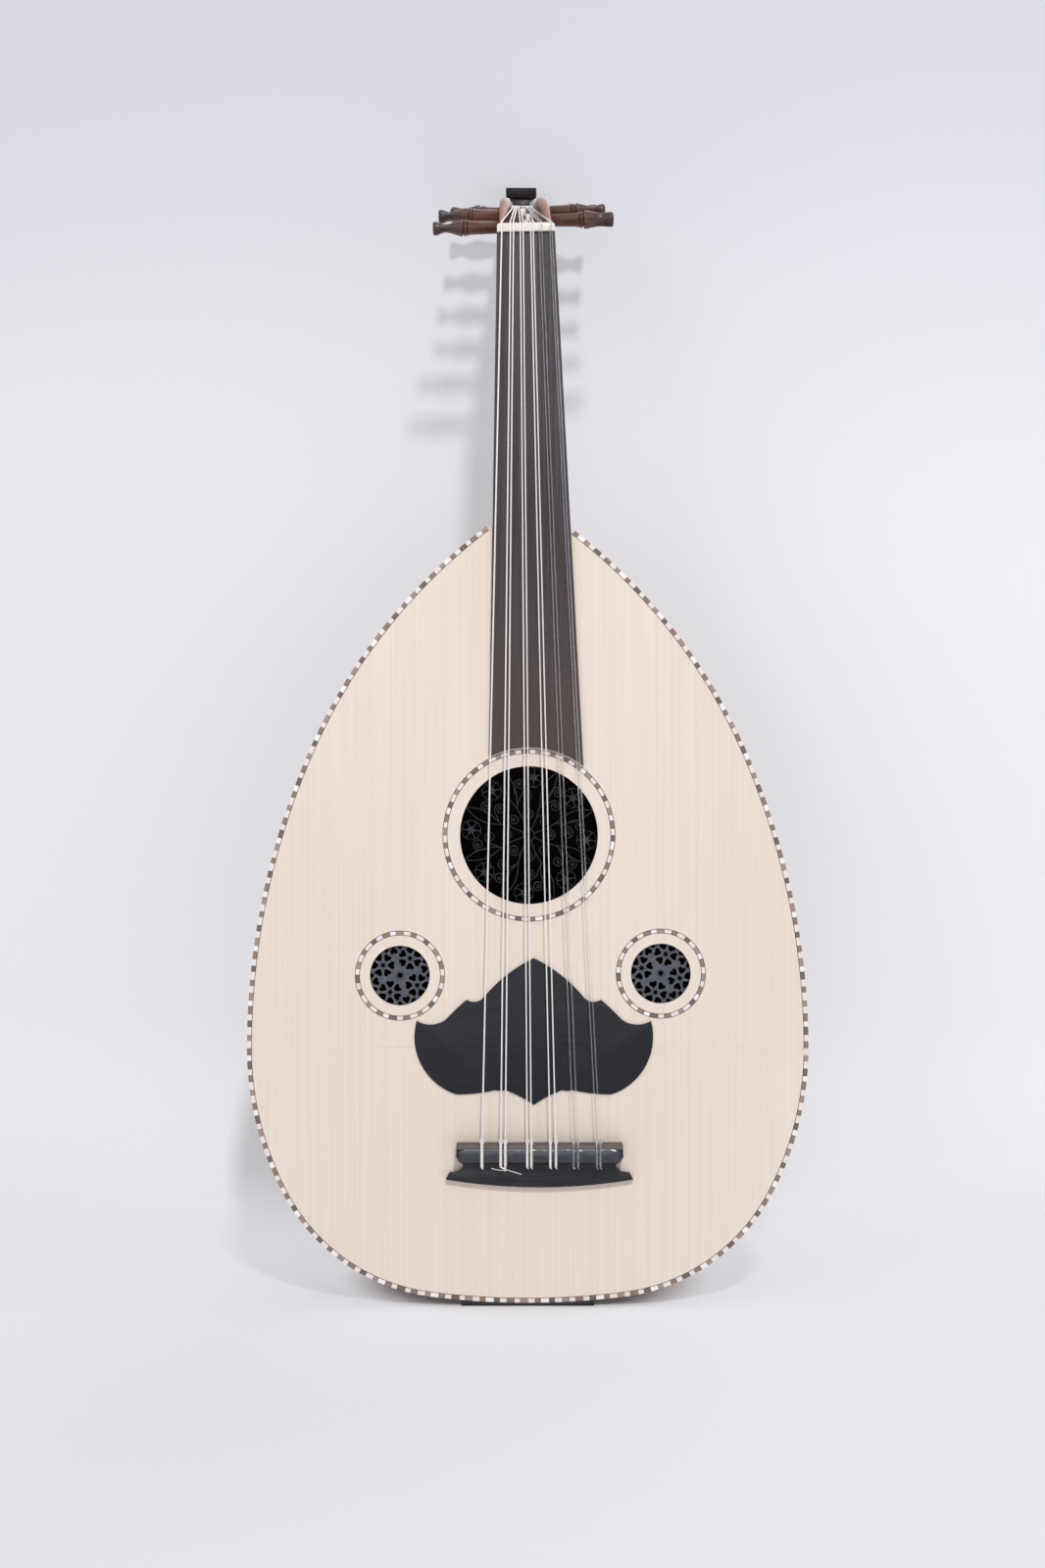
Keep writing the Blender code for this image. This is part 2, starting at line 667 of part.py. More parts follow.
def arabesque_sector(turn, hub, rim):
    unit = MAIN_HOLE_RADIUS
    stem_angle = turn + math.radians(STEM_ANGLE)
    fork = (FORK_REACH * unit, turn + math.radians(FORK_ANGLE))
    tip = (rim + SCROLL_WIDTH, turn + math.radians(LEAF_TIP_ANGLE))
    shapes = []
    # The stem leaves the hub and forks into a long leaf whose tip meets the rim.
    shapes.append((True, ribbon(bowed_line((hub, stem_angle), fork, 0.0, 2), SCROLL_WIDTH)))
    for bow in LEAF_BOWS:
        shapes.append((True, ribbon(bowed_line(fork, tip, bow * unit, 4), SCROLL_WIDTH)))
    # Three scrolls grow from the stem, the fork and the leaf.
    for root_reach, root_angle, reach, angle in SCROLLS:
        root = polar(root_reach * unit, turn + math.radians(root_angle))
        centre = polar(reach * unit, turn + math.radians(angle))
        shapes.append((True, ribbon(scroll_line(root, centre, SCROLL_RADIUS, SCROLL_STEPS), SCROLL_WIDTH)))
    # A flower of open petals stands by the rim.
    flower = polar(FLOWER_REACH * unit, turn)
    shapes.append((True, circle(FLOWER_SIZE * unit, 2 * PETALS, flower, turn)))
    for petal in range(PETALS):
        angle = turn + (petal + 0.5) * 2 * math.pi / PETALS
        x, z = polar(PETAL_REACH * unit, angle)
        shapes.append((False, circle(PETAL_SIZE * unit, 4, (flower[0] + x, flower[1] + z), angle)))
    return shapes


# Small rosettes: hearts round six-pointed stars.

def star(centre, shares, turn, points=6):
    outer, inner = (share * SMALL_HOLE_RADIUS for share in shares)
    shape = []
    for i in range(points * 2):
        radius = inner if i % 2 else outer
        x, z = polar(radius, turn + i * math.pi / points)
        shape.append((centre[0] + x, centre[1] + z))
    return shape


# A heart whose point faces the middle of its cluster.
def heart(cluster, share, angle):
    size = share * SMALL_HOLE_RADIUS
    distance = HEART_REACH * SMALL_HOLE_RADIUS
    cos, sin = math.cos(angle), math.sin(angle)
    shape = []
    for along, across in HEART_OUTLINE:
        a, b = distance + along * size, across * size
        shape.append((cluster[0] + a * cos - b * sin, cluster[1] + a * sin + b * cos))
    return shape


def lattice_shapes(turn):
    unit = SMALL_HOLE_RADIUS
    shapes = [(True, circle(unit + ROSETTE_OVERLAP, SMALL_HOLE_SIDES))]
    for k in range(4):
        angle = turn + k * math.pi / 2
        inner_cluster = polar(CLUSTER_REACH * unit, angle)
        outer_cluster = polar(OUTER_CLUSTER_REACH * unit, angle + math.pi / 4)
        shapes.append((False, star(inner_cluster, CLUSTER_STAR, angle)))
        for i in range(6):
            shapes.append((False, heart(inner_cluster, HEART_SIZE, angle + math.pi / 6 + i * math.pi / 3)))
        # Of an outer cluster only the three hearts towards the middle lie within the hole.
        for i in (2, 3, 4):
            spoke = angle + math.pi / 4 + i * math.pi / 3
            shapes.append((False, heart(outer_cluster, OUTER_HEART_SIZE, spoke)))
    shapes.append((False, star((0.0, 0.0), CENTRE_STAR, turn)))
    return shapes


def make_rosettes(material, parent):
    front = SOUNDBOARD_THICKNESS + GAP
    pierced_plate("main_rosette", HOLES[0][1], arabesque_shapes(), front, material, parent)
    for hole, turn in zip(HOLES[1:], LATTICE_TURN):
        pierced_plate(f"{hole[0]}_rosette", hole[1], lattice_shapes(turn), front, material, parent)


# Neck, fingerboard and nut, in the neck's frame: z = 0 is the joint

NUT_FRONT = NECK_LENGTH
NUT_BACK = NECK_LENGTH + NUT_THICKNESS


def taper_half_width(z):
    return mix(FINGERBOARD_WIDTH_AT_JOINT, NUT_WIDTH, z / NECK_LENGTH) / 2


def neck_end_height(y):
    return NUT_BACK + GAP - NECK_END_SLOPE * y


def make_neck(wood, parent):
    spokes = 10
    loops = []
    for t in (0.0, HEEL_LENGTH / NUT_BACK, 0.5, 1.0):
        z = mix(GAP, NUT_BACK, t)
        flare = 1.0 + HEEL_FLARE * (1 - smooth_step(z, 0.0, 2 * HEEL_LENGTH))
        half = taper_half_width(min(z, NECK_LENGTH))
        deep = mix(NECK_DEPTH_AT_JOINT, NECK_DEPTH_AT_NUT, t) * flare
        loop = []
        for j in range(spokes + 1):
            angle = math.pi * j / spokes
            x = half * math.cos(angle)
            y = deep * math.sin(angle) ** NECK_FULLNESS
            end = z
            if t == 0.0:
                # The joint lies square to the body, and so askew to the neck.
                end = (GAP + x * math.sin(NECK_LEAN)) / math.cos(NECK_LEAN)
            elif t == 1.0:
                end = neck_end_height(y)
            loop.append(Vector((x, y, end)))
        loops.append(loop)
    loft("neck", loops, wood, parent, smooth_angle=math.radians(40))


def make_fingerboard(ebony, parent, to_neck):
    front = -GAP - FINGERBOARD_THICKNESS
    ring_outer = MAIN_RING_RADIUS + MAIN_RING_WIDTH / 2 + 2 * GAP
    centre = to_neck @ Vector((MAIN_HOLE_X, 0.0, MAIN_HOLE_Z))
    half_end = FINGERBOARD_WIDTH_AT_END / 2
    left = math.acos(min(1.0, max(-1.0, (-half_end - centre.x) / ring_outer)))
    right = math.acos(min(1.0, max(-1.0, (half_end - centre.x) / ring_outer)))
    hollow = arc_points((centre.x, centre.z), ring_outer, left, right, 12)
    outline = hollow + [
        (FINGERBOARD_WIDTH_AT_JOINT / 2, 0.0), (NUT_WIDTH / 2, NUT_FRONT - GAP),
        (-NUT_WIDTH / 2, NUT_FRONT - GAP), (-FINGERBOARD_WIDTH_AT_JOINT / 2, 0.0),
    ]
    plate("fingerboard", outline, front, -GAP, ebony, parent)


def make_nut(bone, parent):
    half = NUT_WIDTH / 2
    top = -NUT_HEIGHT - GAP
    profile = ((NUT_FRONT, -GAP), (NUT_FRONT, top), (NUT_BACK - NUT_CROWN, top), (NUT_BACK, top + NUT_CROWN),
               (NUT_BACK, -GAP))
    loops = []
    inner = half - NUT_CORNER
    for x, drop in ((-half, NUT_CORNER), (-inner, 0.0), (inner, 0.0), (half, NUT_CORNER)):
        loops.append([Vector((x, y, min(z, NUT_BACK - drop))) for z, y in profile])
    loft("nut", loops, bone, parent)


# Pegbox

def lean_at(distance):
    hump = smooth_step(distance, HUMP_START, HUMP_END)
    sweep = smooth_step(distance, SWEEP_START, SWEEP_END)
    return LEAN_NEAR + (LEAN_FAR - LEAN_NEAR) * hump + (LEAN_TIP - LEAN_FAR) * sweep


# A point on the pegbox line as (depth y, height z), set off towards the opening.
def pegbox_point(distance, offset=0.0):
    step = 0.0005
    y, z = PEGBOX_START_DEPTH, NECK_LENGTH
    if distance < 0:
        y += distance * math.cos(LEAN_NEAR)
        z += distance * math.sin(LEAN_NEAR)
    else:
        count = max(1, round(distance / step))
        for i in range(count):
            lean = lean_at(distance * (i + 0.5) / count)
            y += distance / count * math.cos(lean)
            z += distance / count * math.sin(lean)
    lean = lean_at(distance)
    return y - offset * math.sin(lean), z + offset * math.cos(lean)


LAST_PEG = FIRST_PEG + (len(PEG_REACH) - 1) * PEG_PITCH
PLUG_START = LAST_PEG + PEG_SHAFT_RADIUS + PLUG_CLEARANCE
CHEEK_END = PLUG_START + PLUG_LENGTH


def trough_depth(distance):
    return mix(TROUGH_DEPTH_NEAR, TROUGH_DEPTH_FAR, smooth_step(distance, 0.0, LAST_PEG))


def outer_half_width(depth):
    end = pegbox_point(CHEEK_END)[0]
    return mix(PEGBOX_HALF_WIDTH_NEAR, PEGBOX_HALF_WIDTH_FAR, min(1.0, max(0.0, depth / end)))


def inner_half_width(depth):
    start, end = CHEEK_FLARE
    flare = min(1.0, max(0.0, (depth - start) / (end - start)))
    return outer_half_width(depth) - mix(CHEEK_THICKNESS_AT_NUT, CHEEK_THICKNESS, flare)


def opening_rise(distance):
    near = mix(OPENING_RISE_NEAR, OPENING_RISE_HUMP, smooth_step(distance, 0.0, HUMP_START))
    return mix(near, OPENING_RISE_FAR, smooth_step(distance, HUMP_END, LAST_PEG))


# Distance along the line at which an edge, set off from it, leaves the neck's end face.
def edge_start(offset_at):
    low, high = -0.03, 0.03
    for _ in range(40):
        middle = (low + high) / 2
        y, z = pegbox_point(middle, offset_at(middle))
        if z > neck_end_height(y) + GAP:
            high = middle
        else:
            low = middle
    return high


def cheek_stations(count, offset_low, offset_high, end):
    starts = edge_start(offset_low), edge_start(offset_high)
    stations = []
    for i in range(count + 1):
        t = i / count
        low, high = mix(starts[0], end, t), mix(starts[1], end, t)
        stations.append((pegbox_point(low, offset_low(low)), pegbox_point(high, offset_high(high))))
    return stations


def peg_centres():
    return [pegbox_point(FIRST_PEG + i * PEG_PITCH) for i in range(len(PEG_REACH))]


def make_cheeks(maple, parent):
    def back(distance):
        return -trough_depth(distance)

    stations = cheek_stations(14, back, opening_rise, CHEEK_END)
    for side, label in ((-1, "left"), (1, "right")):
        loops = []
        for low, high in stations:
            down = Vector((low[0] - high[0], low[1] - high[1]))
            crown = down.normalized() * CROWN_SHARE * OPENING_RISE_FAR
            loop = []
            # The edge towards the strings is rounded from face to face.
            for angle in (0, 45, 90, 135, 180):
                across = 0.5 + 0.5 * math.cos(math.radians(angle))
                sink = 1 - math.sin(math.radians(angle))
                y, z = high[0] + crown.x * sink, high[1] + crown.y * sink
                loop.append(Vector((side * mix(inner_half_width(y), outer_half_width(y), across), y, z)))
            loop.append(Vector((side * inner_half_width(low[0]), *low)))
            loop.append(Vector((side * outer_half_width(low[0]), *low)))
            loops.append(loop)
        cheek = loft(f"pegbox_{label}_cheek", loops, maple, parent, smooth_angle=math.radians(50))
        cutters = []
        for i, (y, z) in enumerate(peg_centres()):
            peg_side = -1 if i % 2 == 0 else 1
            radius = PEG_SHAFT_RADIUS if peg_side == side else PEG_TIP_RADIUS
            clear = (radius + GAP) / math.cos(math.pi / PEG_SIDES)
            ends = [[Vector((x, y + dy, z + dz)) for dy, dz in circle(clear, PEG_SIDES)]
                    for x in (0.0, side * 2 * PEGBOX_HALF_WIDTH_NEAR)]
            cutters.append(loft(f"{label}_peg_hole_{i + 1}", ends, maple, parent))
        cut(cheek, cutters)


def make_pegbox_floor(maple, parent):
    def under(distance):
        return -trough_depth(distance)

    def upper(distance):
        return FLOOR_THICKNESS - trough_depth(distance)

    loops = []
    for low, high in cheek_stations(12, under, upper, PLUG_START - GAP):
        loop = []
        for side, (y, z) in ((-1, low), (1, low), (1, high), (-1, high)):
            loop.append(Vector((side * (inner_half_width(y) - GAP), y, z)))
        loops.append(loop)
    loft("pegbox_floor", loops, maple, parent)


def make_finial(ebony, parent):
    y0, z0 = pegbox_point(PLUG_START)
    lean = lean_at(PLUG_START)
    plug = inner_half_width(pegbox_point(CHEEK_END)[0]) - 2 * GAP
    seat = OPENING_RISE_FAR + 2 * GAP
    low_cove, high_cove = (mix(plug, FINIAL_HALF_WIDTH, share) for share in COVE_WIDENING)
    # Each level: height above the line, half width and near reach along the line.
    levels = (
        (-TROUGH_DEPTH_FAR, plug, 0.0),
        (seat, plug, 0.0),
        (seat + GAP, low_cove, 0.0),
        (mix(seat, FINIAL_SHOULDER, 0.5), high_cove, 0.0),
        (FINIAL_SHOULDER, FINIAL_HALF_WIDTH, 0.0),
        (FINIAL_TOP, FINIAL_HALF_WIDTH, FINIAL_TOP_SHIFT),
    )
    loops = []
    for (height, half, near), far in zip(levels, FINIAL_REACHES):
        loop = []
        for x, along in ((-half, near), (half, near), (half, far), (-half, far)):
            u = along * FINIAL_LENGTH
            y = y0 + u * math.cos(lean) - height * math.sin(lean)
            z = z0 + u * math.sin(lean) + height * math.cos(lean)
            loop.append(Vector((x, y, z)))
        loops.append(loop)
    loft("finial", loops, ebony, parent)


# Pegs

def peg_name(index):
    return f"peg_{'left' if index % 2 == 0 else 'right'}_{index // 2 + 1}"


# Stations of a turned peg, as (distance from the cheek, thick radius, wide radius), tip first.
def peg_stations(index):
    depth = peg_centres()[index][0]
    width = outer_half_width(depth)
    reach = PEG_REACH[index]
    shoulder = reach - PEG_HEAD_LENGTH
    bead = PEG_BEAD_LENGTH
    near_face = -2 * width + PEG_TIP_SETBACK
    collar = shoulder - 2 * bead
    knob, knob_end = (
        (shoulder + along * PEG_HEAD_LENGTH, thick * PEG_KNOB_RADIUS, wide * PEG_KNOB_RADIUS)
        for along, thick, wide in (KNOB_SHARES, END_SHARES)
    )
    return (
        (near_face, PEG_TIP_RADIUS, PEG_TIP_RADIUS),
        (-width, PEG_SHAFT_RADIUS, PEG_SHAFT_RADIUS),
        (PEG_SEAT, PEG_SHAFT_RADIUS, PEG_SHAFT_RADIUS),
        (collar, PEG_COLLAR_RADIUS, PEG_COLLAR_RADIUS),
        (collar + 0.5 * bead, PEG_BEAD_RADIUS, PEG_BEAD_RADIUS),
        (collar + bead, PEG_COLLAR_RADIUS, PEG_COLLAR_RADIUS),
        (collar + 1.5 * bead, PEG_BEAD_RADIUS, PEG_BEAD_RADIUS),
        (shoulder, PEG_FLARE_RADIUS, PEG_FLARE_RADIUS),
        (shoulder + WAIST_SHARE * PEG_HEAD_LENGTH, PEG_WAIST_THICK, PEG_WAIST_WIDE),
        knob,
        knob_end,
    )


def make_pegs(rosewood, parent):
    for index, (y, z) in enumerate(peg_centres()):
        side = -1 if index % 2 == 0 else 1
        width = outer_half_width(y)
        blade = math.radians(PEG_TURNS[index])
        loops = []
        for along, thick, wide in peg_stations(index):
            loop = []
            for cos, sin in circle(1.0, PEG_SIDES):
                a, b = thick * cos, wide * sin
                loop.append(Vector((side * (width + along), a * math.cos(blade) - b * math.sin(blade),
                                    a * math.sin(blade) + b * math.cos(blade))))
            loops.append(loop)
        peg = loft(peg_name(index), loops, rosewood, parent, smooth_angle=math.radians(50))
        peg.location = (0.0, y, z)


# Bridge

# The foot's plan: drawn in behind the tie block, then out to two small tips.
def bridge_plan():
    necking = BRIDGE_NECKING / 2
    half_foot = BRIDGE_FOOT_WIDTH / 2
    block_back = BRIDGE_FRONT_Z - TIE_BLOCK_LENGTH
    ear = BRIDGE_TIP_Z + EAR_HEIGHT_SHARE * (block_back - BRIDGE_TIP_Z)
    right = [(necking, block_back + 2 * GAP)]
    for widening, down in EAR_CURVE:
        right.append((mix(necking, half_foot, widening), mix(block_back, ear, down)))
    right.append((half_foot, BRIDGE_TIP_Z))
    # The tail edge is one shallow arc between the tips.
    sag = BRIDGE_TIP_Z - BRIDGE_TAIL_Z
    radius = (half_foot ** 2 + sag ** 2) / (2 * sag)
    sweep = math.asin(half_foot / radius)
    centre = (0.0, BRIDGE_TAIL_Z + radius)
    tail = arc_points(centre, radius, -math.pi / 2 + sweep, -math.pi / 2 - sweep, 10)[1:-1]
    left = [(-x, z) for x, z in reversed(right)]
    return right + tail + left


def string_table():
    rows = []
    for i, (at_nut, at_bridge, diameter) in enumerate(zip(NUT_COURSES, BRIDGE_COURSES, STRING_DIAMETERS)):
        # The bass is single, and every other course is a pair.
        for label, side in (("a", -0.5), ("b", 0.5)) if i else (("", 0.0),):
            rows.append((f"string_{6 - i}{label}", at_nut + side * PAIR_SPACINGS_AT_NUT[i],
                         at_bridge + side * PAIR_SPACINGS_AT_BRIDGE[i], diameter))
    return rows


def make_bridge(ebony, parent):
    base = -GAP
    foot_top = base - BRIDGE_FOOT_HEIGHT
    block_top = base - TIE_BLOCK_HEIGHT
    front, back = BRIDGE_FRONT_Z, BRIDGE_FRONT_Z - TIE_BLOCK_LENGTH
    half = BRIDGE_WIDTH / 2
    foot = plate("bridge", [(x + BRIDGE_X, z) for x, z in bridge_plan()], foot_top, base, ebony, parent)
    # The tie block: a sloping front shelf, a groove and a rounded bar over which the strings are tied.
    loops = []
    stations = [
        (side * (half - inward * TIE_BLOCK_CORNER), back + lift * TIE_BLOCK_CORNER)
        for side in (-1, 1) for inward, lift in BLOCK_END_CURVE[::-side]
    ]
    for x, rear in stations:
        shelf = [(front - distance, block_top + depth) for distance, depth in SHELF_PROFILE]
        bar = [(rear + distance, block_top + depth) for distance, depth in BAR_BACK_PROFILE]
        profile = [(front, base)] + shelf + bar + [(rear, base)]
        loops.append([Vector((BRIDGE_X + x, y, z)) for z, y in profile])
    block = loft("tie_block", loops, ebony, parent)
    block.hide_render = True
    block.display_type = "WIRE"
    join = foot.modifiers.new("tie_block", "BOOLEAN")
    join.object = block
    join.solver = "EXACT"
    join.operation = "UNION"
    holes = []
    for name, _, at_bridge, _ in string_table():
        rim = circle(STRING_HOLE_RADIUS, 6, (at_bridge, -STRING_HOLE_HEIGHT))
        ends = [[Vector((x, y, z)) for x, y in rim]
                for z in (back - HOLE_OVERRUN, front + HOLE_OVERRUN)]
        holes.append(loft(f"{name}_hole", ends, ebony, parent))
    cut(foot, holes)


# Pickguard: half of its outline from the top tip clockwise, as (x, z, bulge of the stretch that follows).

PICKGUARD_HALF = (
    (0.0000, 0.2040, -0.11), (0.0300, 0.1803, 0.36), (0.0397, 0.1794, -0.03), (0.0519, 0.1678, 0.31),
    (0.0693, 0.1669, -0.40), (0.0458, 0.1234, -0.06), (0.0232, 0.1259, -0.10), (0.0165, 0.1259, 0.06),
    (0.0000, 0.1172, 0.00),
)
PICKGUARD_FACET = 0.007


# Points from one corner towards the next along an arc: a bulge is the tangent of a quarter of its angle.
def bulged(start, end, bulge):
    dx, dz = end[0] - start[0], end[1] - start[1]
    steps = max(3, round(math.hypot(dx, dz) / PICKGUARD_FACET))
    points = []
    for i in range(steps):
        t = i / steps
        half_angle = 2 * math.atan(bulge)
        angle = half_angle * (2 * t - 1)
        along = 0.5 + 0.5 * math.sin(angle) / math.sin(half_angle)
        across = 0.5 * (math.cos(angle) - math.cos(half_angle)) / math.sin(half_angle)
        points.append((start[0] + dx * along - dz * across, start[1] + dz * along + dx * across))
    return points


def pickguard_outline():
    right = []
    for (x0, z0, bulge), (x1, z1, _) in zip(PICKGUARD_HALF, PICKGUARD_HALF[1:]):
        right += bulged((x0, z0), (x1, z1), -bulge)
    right.append(PICKGUARD_HALF[-1][:2])
    return right + [(-x, z) for x, z in reversed(right[1:-1])]


def make_pickguard(ebony, parent):
    outline = [(x + PICKGUARD_X, z) for x, z in pickguard_outline()]
    plate("pickguard", outline, -GAP - PICKGUARD_THICKNESS, -GAP, ebony, parent)


# Strings

# The taut way from the nut over the nearer pegs to a string's own peg, in the plane of y and z.
# It gives the way's corners and the angle at which the string meets its own peg.
def taut_way(start, own, reach):
    centres = peg_centres()
    here, touched, lean = start, -1, None
    corners = []
    while touched < own:
        options = []
        for j in range(touched + 1, own + 1):
            dy, dz = centres[j][0] - here[0], centres[j][1] - here[1]
            angle = math.atan2(dz, dy)
            if touched < 0:
                angle += math.asin(reach / math.hypot(dy, dz))
            # Of pegs in one line, the farthest counts.
            options.append((angle + 1e-5 * j, angle, j))
        _, angle, j = max(options)
        if lean is not None:
            normal = (lean + angle) / 2 + math.pi / 2
            corner = reach / math.cos((lean - angle) / 2)
            corners.append((here[0] + corner * math.cos(normal), here[1] + corner * math.sin(normal)))
        here, touched, lean = centres[j], j, angle
    return corners, lean + math.pi / 2


def string_path(index, row, from_neck):
    name, at_nut, at_bridge, diameter = row
    radius = diameter / 2
    clear = GAP + radius
    nut_top = -GAP - NUT_HEIGHT
    hole = -STRING_HOLE_HEIGHT
    front, back = BRIDGE_FRONT_Z, BRIDGE_FRONT_Z - TIE_BLOCK_LENGTH
    top = -GAP - TIE_BLOCK_HEIGHT - clear
    behind = back - clear
    # Tied end: over the bar, down behind it, through the block and out at the front.
    loop = ((top + TIE_RISE[0], front + TIE_RISE[1]), (top, front - TIE_LEVEL[0]),
            (top, back + TIE_LEVEL[1]), (top + TIE_EDGE[0], behind + TIE_EDGE[1]),
            (hole - TIE_ROUND[0], behind - TIE_ROUND[1]), (hole, behind + TIE_ENTRY), (hole, front + TIE_STUB))
    points = [Vector((at_bridge, y, z)) for y, z in loop]
    # Over the nut and round its rear edge.
    eased = clear * math.tan(math.pi / 8)
    leaving = (nut_top + NUT_CROWN - eased, NUT_BACK + clear)
    over_nut = ((nut_top - clear, NUT_FRONT), (nut_top - clear, NUT_BACK - NUT_CROWN + eased), leaving)
    points += [from_neck @ Vector((at_nut, y, z)) for y, z in over_nut]
    # In plan the string runs straight to the peg over which it bends, and straight again to its own peg.
    own = PEG_OF_STRING[index]
    centres = peg_centres()
    reach = PEG_SHAFT_RADIUS + clear
    corners, meeting = taut_way(leaving, own, reach)
    turns = [(leaving[0], at_nut)]
    if own > BENDING_PEG:
        turns.append((centres[BENDING_PEG][0], HUMP_LANES[index]))
    turns.append((centres[own][0], PEG_LANES[index]))
    points += [from_neck @ Vector((lane_at(turns, y), y, z)) for y, z in corners]
    # The winding runs towards the middle of the pegbox, which the nearer pegs' strings have left free.
    inward = -math.copysign(1.0, PEG_LANES[index]) * (diameter + WINDING_SPACE)
    winding_radius = reach / math.cos(math.pi / POINTS_PER_TURN)
    for i in range(WINDING_TURNS * POINTS_PER_TURN):
        wound = (i + 0.5) / POINTS_PER_TURN
        angle = meeting - 2 * math.pi * wound
        y = centres[own][0] + winding_radius * math.cos(angle)
        z = centres[own][1] + winding_radius * math.sin(angle)
        points.append(from_neck @ Vector((PEG_LANES[index] + inward * wound, y, z)))
    return points


def lane_at(turns, depth):
    for (y0, x0), (y1, x1) in zip(turns, turns[1:]):
        if depth <= y1:
            return mix(x0, x1, (depth - y0) / (y1 - y0))
    return turns[-1][1]


# Least gap of a string to itself, between points that lie more than six diameters apart along it.
def least_gap(points, diameter):
    travelled = [0.0]
    for near, far in zip(points, points[1:]):
        travelled.append(travelled[-1] + (far - near).length)
    least = math.inf
    for i, point in enumerate(points):
        for j in range(i + 1, len(points)):
            if travelled[j] - travelled[i] > 6 * diameter:
                least = min(least, (points[j] - point).length - diameter)
    return least


def make_strings(silver, nylon, parent, from_neck):
    for index, row in enumerate(string_table()):
        name, _, _, diameter = row
        points = string_path(index, row, from_neck)
        print(f"{name}: least gap to itself {1000 * least_gap(points, diameter):.2f} mm")
        curve = bpy.data.curves.new(name, "CURVE")
        curve.dimensions = "3D"
        curve.bevel_depth = diameter / 2
        curve.bevel_resolution = 1
        curve.use_fill_caps = True
        spline = curve.splines.new("POLY")
        spline.points.add(len(points) - 1)
        for target, point in zip(spline.points, points):
            target.co = (*point, 1.0)
        curve.materials.append(silver if index < 7 else nylon)
        obj = bpy.data.objects.new(name, curve)
        obj.parent = parent
        bpy.context.scene.collection.objects.link(obj)


def main():
    clear_scene()
    spruce = plain_material("spruce", (0.86, 0.74, 0.62), 0.6)
    walnut = plain_material("walnut", (0.24, 0.12, 0.07), 0.45)
    maple = plain_material("stained_beech", (0.33, 0.18, 0.12), 0.5)
    ebony = plain_material("ebony", (0.025, 0.024, 0.027), 0.4)
    rosewood = plain_material("rosewood", (0.16, 0.07, 0.05), 0.45)
    tile = plain_material("tile_inlay", (0.55, 0.47, 0.40), 0.5)
    bone = plain_material("bone", (0.88, 0.80, 0.66), 0.4)
    silver = plain_material("wound_string", (0.75, 0.75, 0.76), 0.35, 0.8)
    nylon = plain_material("nylon", (0.80, 0.82, 0.84), 0.3)
    fibre = plain_material("rosette_fibre", (0.05, 0.05, 0.055), 0.5)

    body = bpy.data.objects.new("body_frame", None)
    body.location = (0.0, -FOOT_CENTRE_DEPTH, CLASP_THICKNESS)
    bpy.context.scene.collection.objects.link(body)
    neck = bpy.data.objects.new("neck_frame", None)
    neck.parent = body
    neck.location = (NECK_OFFSET, 0.0, JOINT_HEIGHT)
    neck.rotation_euler = (0.0, NECK_LEAN, 0.0)
    bpy.context.scene.collection.objects.link(neck)
    from_neck = Matrix.Translation(neck.location) @ Matrix.Rotation(NECK_LEAN, 4, "Y")

    make_ribs(walnut, body)
    tail_pad("end_clasp", CLASP_HALF_WIDTH, CLASP_DEPTH, GAP, -CLASP_THICKNESS, 0.0, -GAP, ebony, body)
    tail_pad("tail_block", TAIL_BLOCK_HALF_WIDTH, TAIL_BLOCK_DEPTH, BOWL_FACE, TAIL_BLOCK_HEIGHT,
             RIB_THICKNESS, GAP, spruce, body)
    make_neck_block(spruce, body)
    make_soundboard(spruce, tile, body)
    make_braces(spruce, body)
    make_rosettes(fibre, body)
    make_neck(maple, neck)
    make_fingerboard(ebony, neck, from_neck.inverted())
    make_nut(bone, neck)
    make_cheeks(maple, neck)
    make_pegbox_floor(maple, neck)
    make_finial(ebony, neck)
    make_pegs(rosewood, neck)
    make_bridge(ebony, body)
    make_pickguard(ebony, body)
    make_strings(silver, nylon, body, from_neck)

    bpy.context.view_layer.update()
    axis = neck.matrix_world.to_3x3() @ Vector((1.0, 0.0, 0.0))
    print("peg axis", [round(v, 6) for v in axis])
    for index in range(len(PEG_REACH)):
        place = bpy.data.objects[peg_name(index)].matrix_world.translation
        print(peg_name(index), [round(v, 6) for v in place])


main()
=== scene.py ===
import json
import math

import bmesh
import bpy
from mathutils import Matrix, Vector, noise
from mathutils.geometry import delaunay_2d_cdt


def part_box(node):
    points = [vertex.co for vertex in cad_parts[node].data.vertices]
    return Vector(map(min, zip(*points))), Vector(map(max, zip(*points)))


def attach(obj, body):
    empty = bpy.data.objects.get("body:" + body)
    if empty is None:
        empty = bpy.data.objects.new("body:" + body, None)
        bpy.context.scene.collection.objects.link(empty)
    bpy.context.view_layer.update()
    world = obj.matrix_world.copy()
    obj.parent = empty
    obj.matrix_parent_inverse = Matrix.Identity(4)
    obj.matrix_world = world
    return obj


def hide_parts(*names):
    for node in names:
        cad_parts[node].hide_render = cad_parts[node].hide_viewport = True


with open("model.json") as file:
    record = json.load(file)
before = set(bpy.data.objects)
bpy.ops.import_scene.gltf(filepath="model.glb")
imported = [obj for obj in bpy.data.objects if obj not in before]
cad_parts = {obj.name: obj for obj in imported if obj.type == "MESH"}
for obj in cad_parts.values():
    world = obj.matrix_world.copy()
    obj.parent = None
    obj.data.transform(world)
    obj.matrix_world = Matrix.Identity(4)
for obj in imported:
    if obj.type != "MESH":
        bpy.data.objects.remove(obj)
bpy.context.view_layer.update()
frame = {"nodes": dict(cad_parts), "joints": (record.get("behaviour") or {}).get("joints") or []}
print("frame loaded")

# The part stands on its tail, and its own zero is the soundboard's face at the tail edge.
faceY = -0.012
tailZ = 0.002


# Colours, nodes and meshes

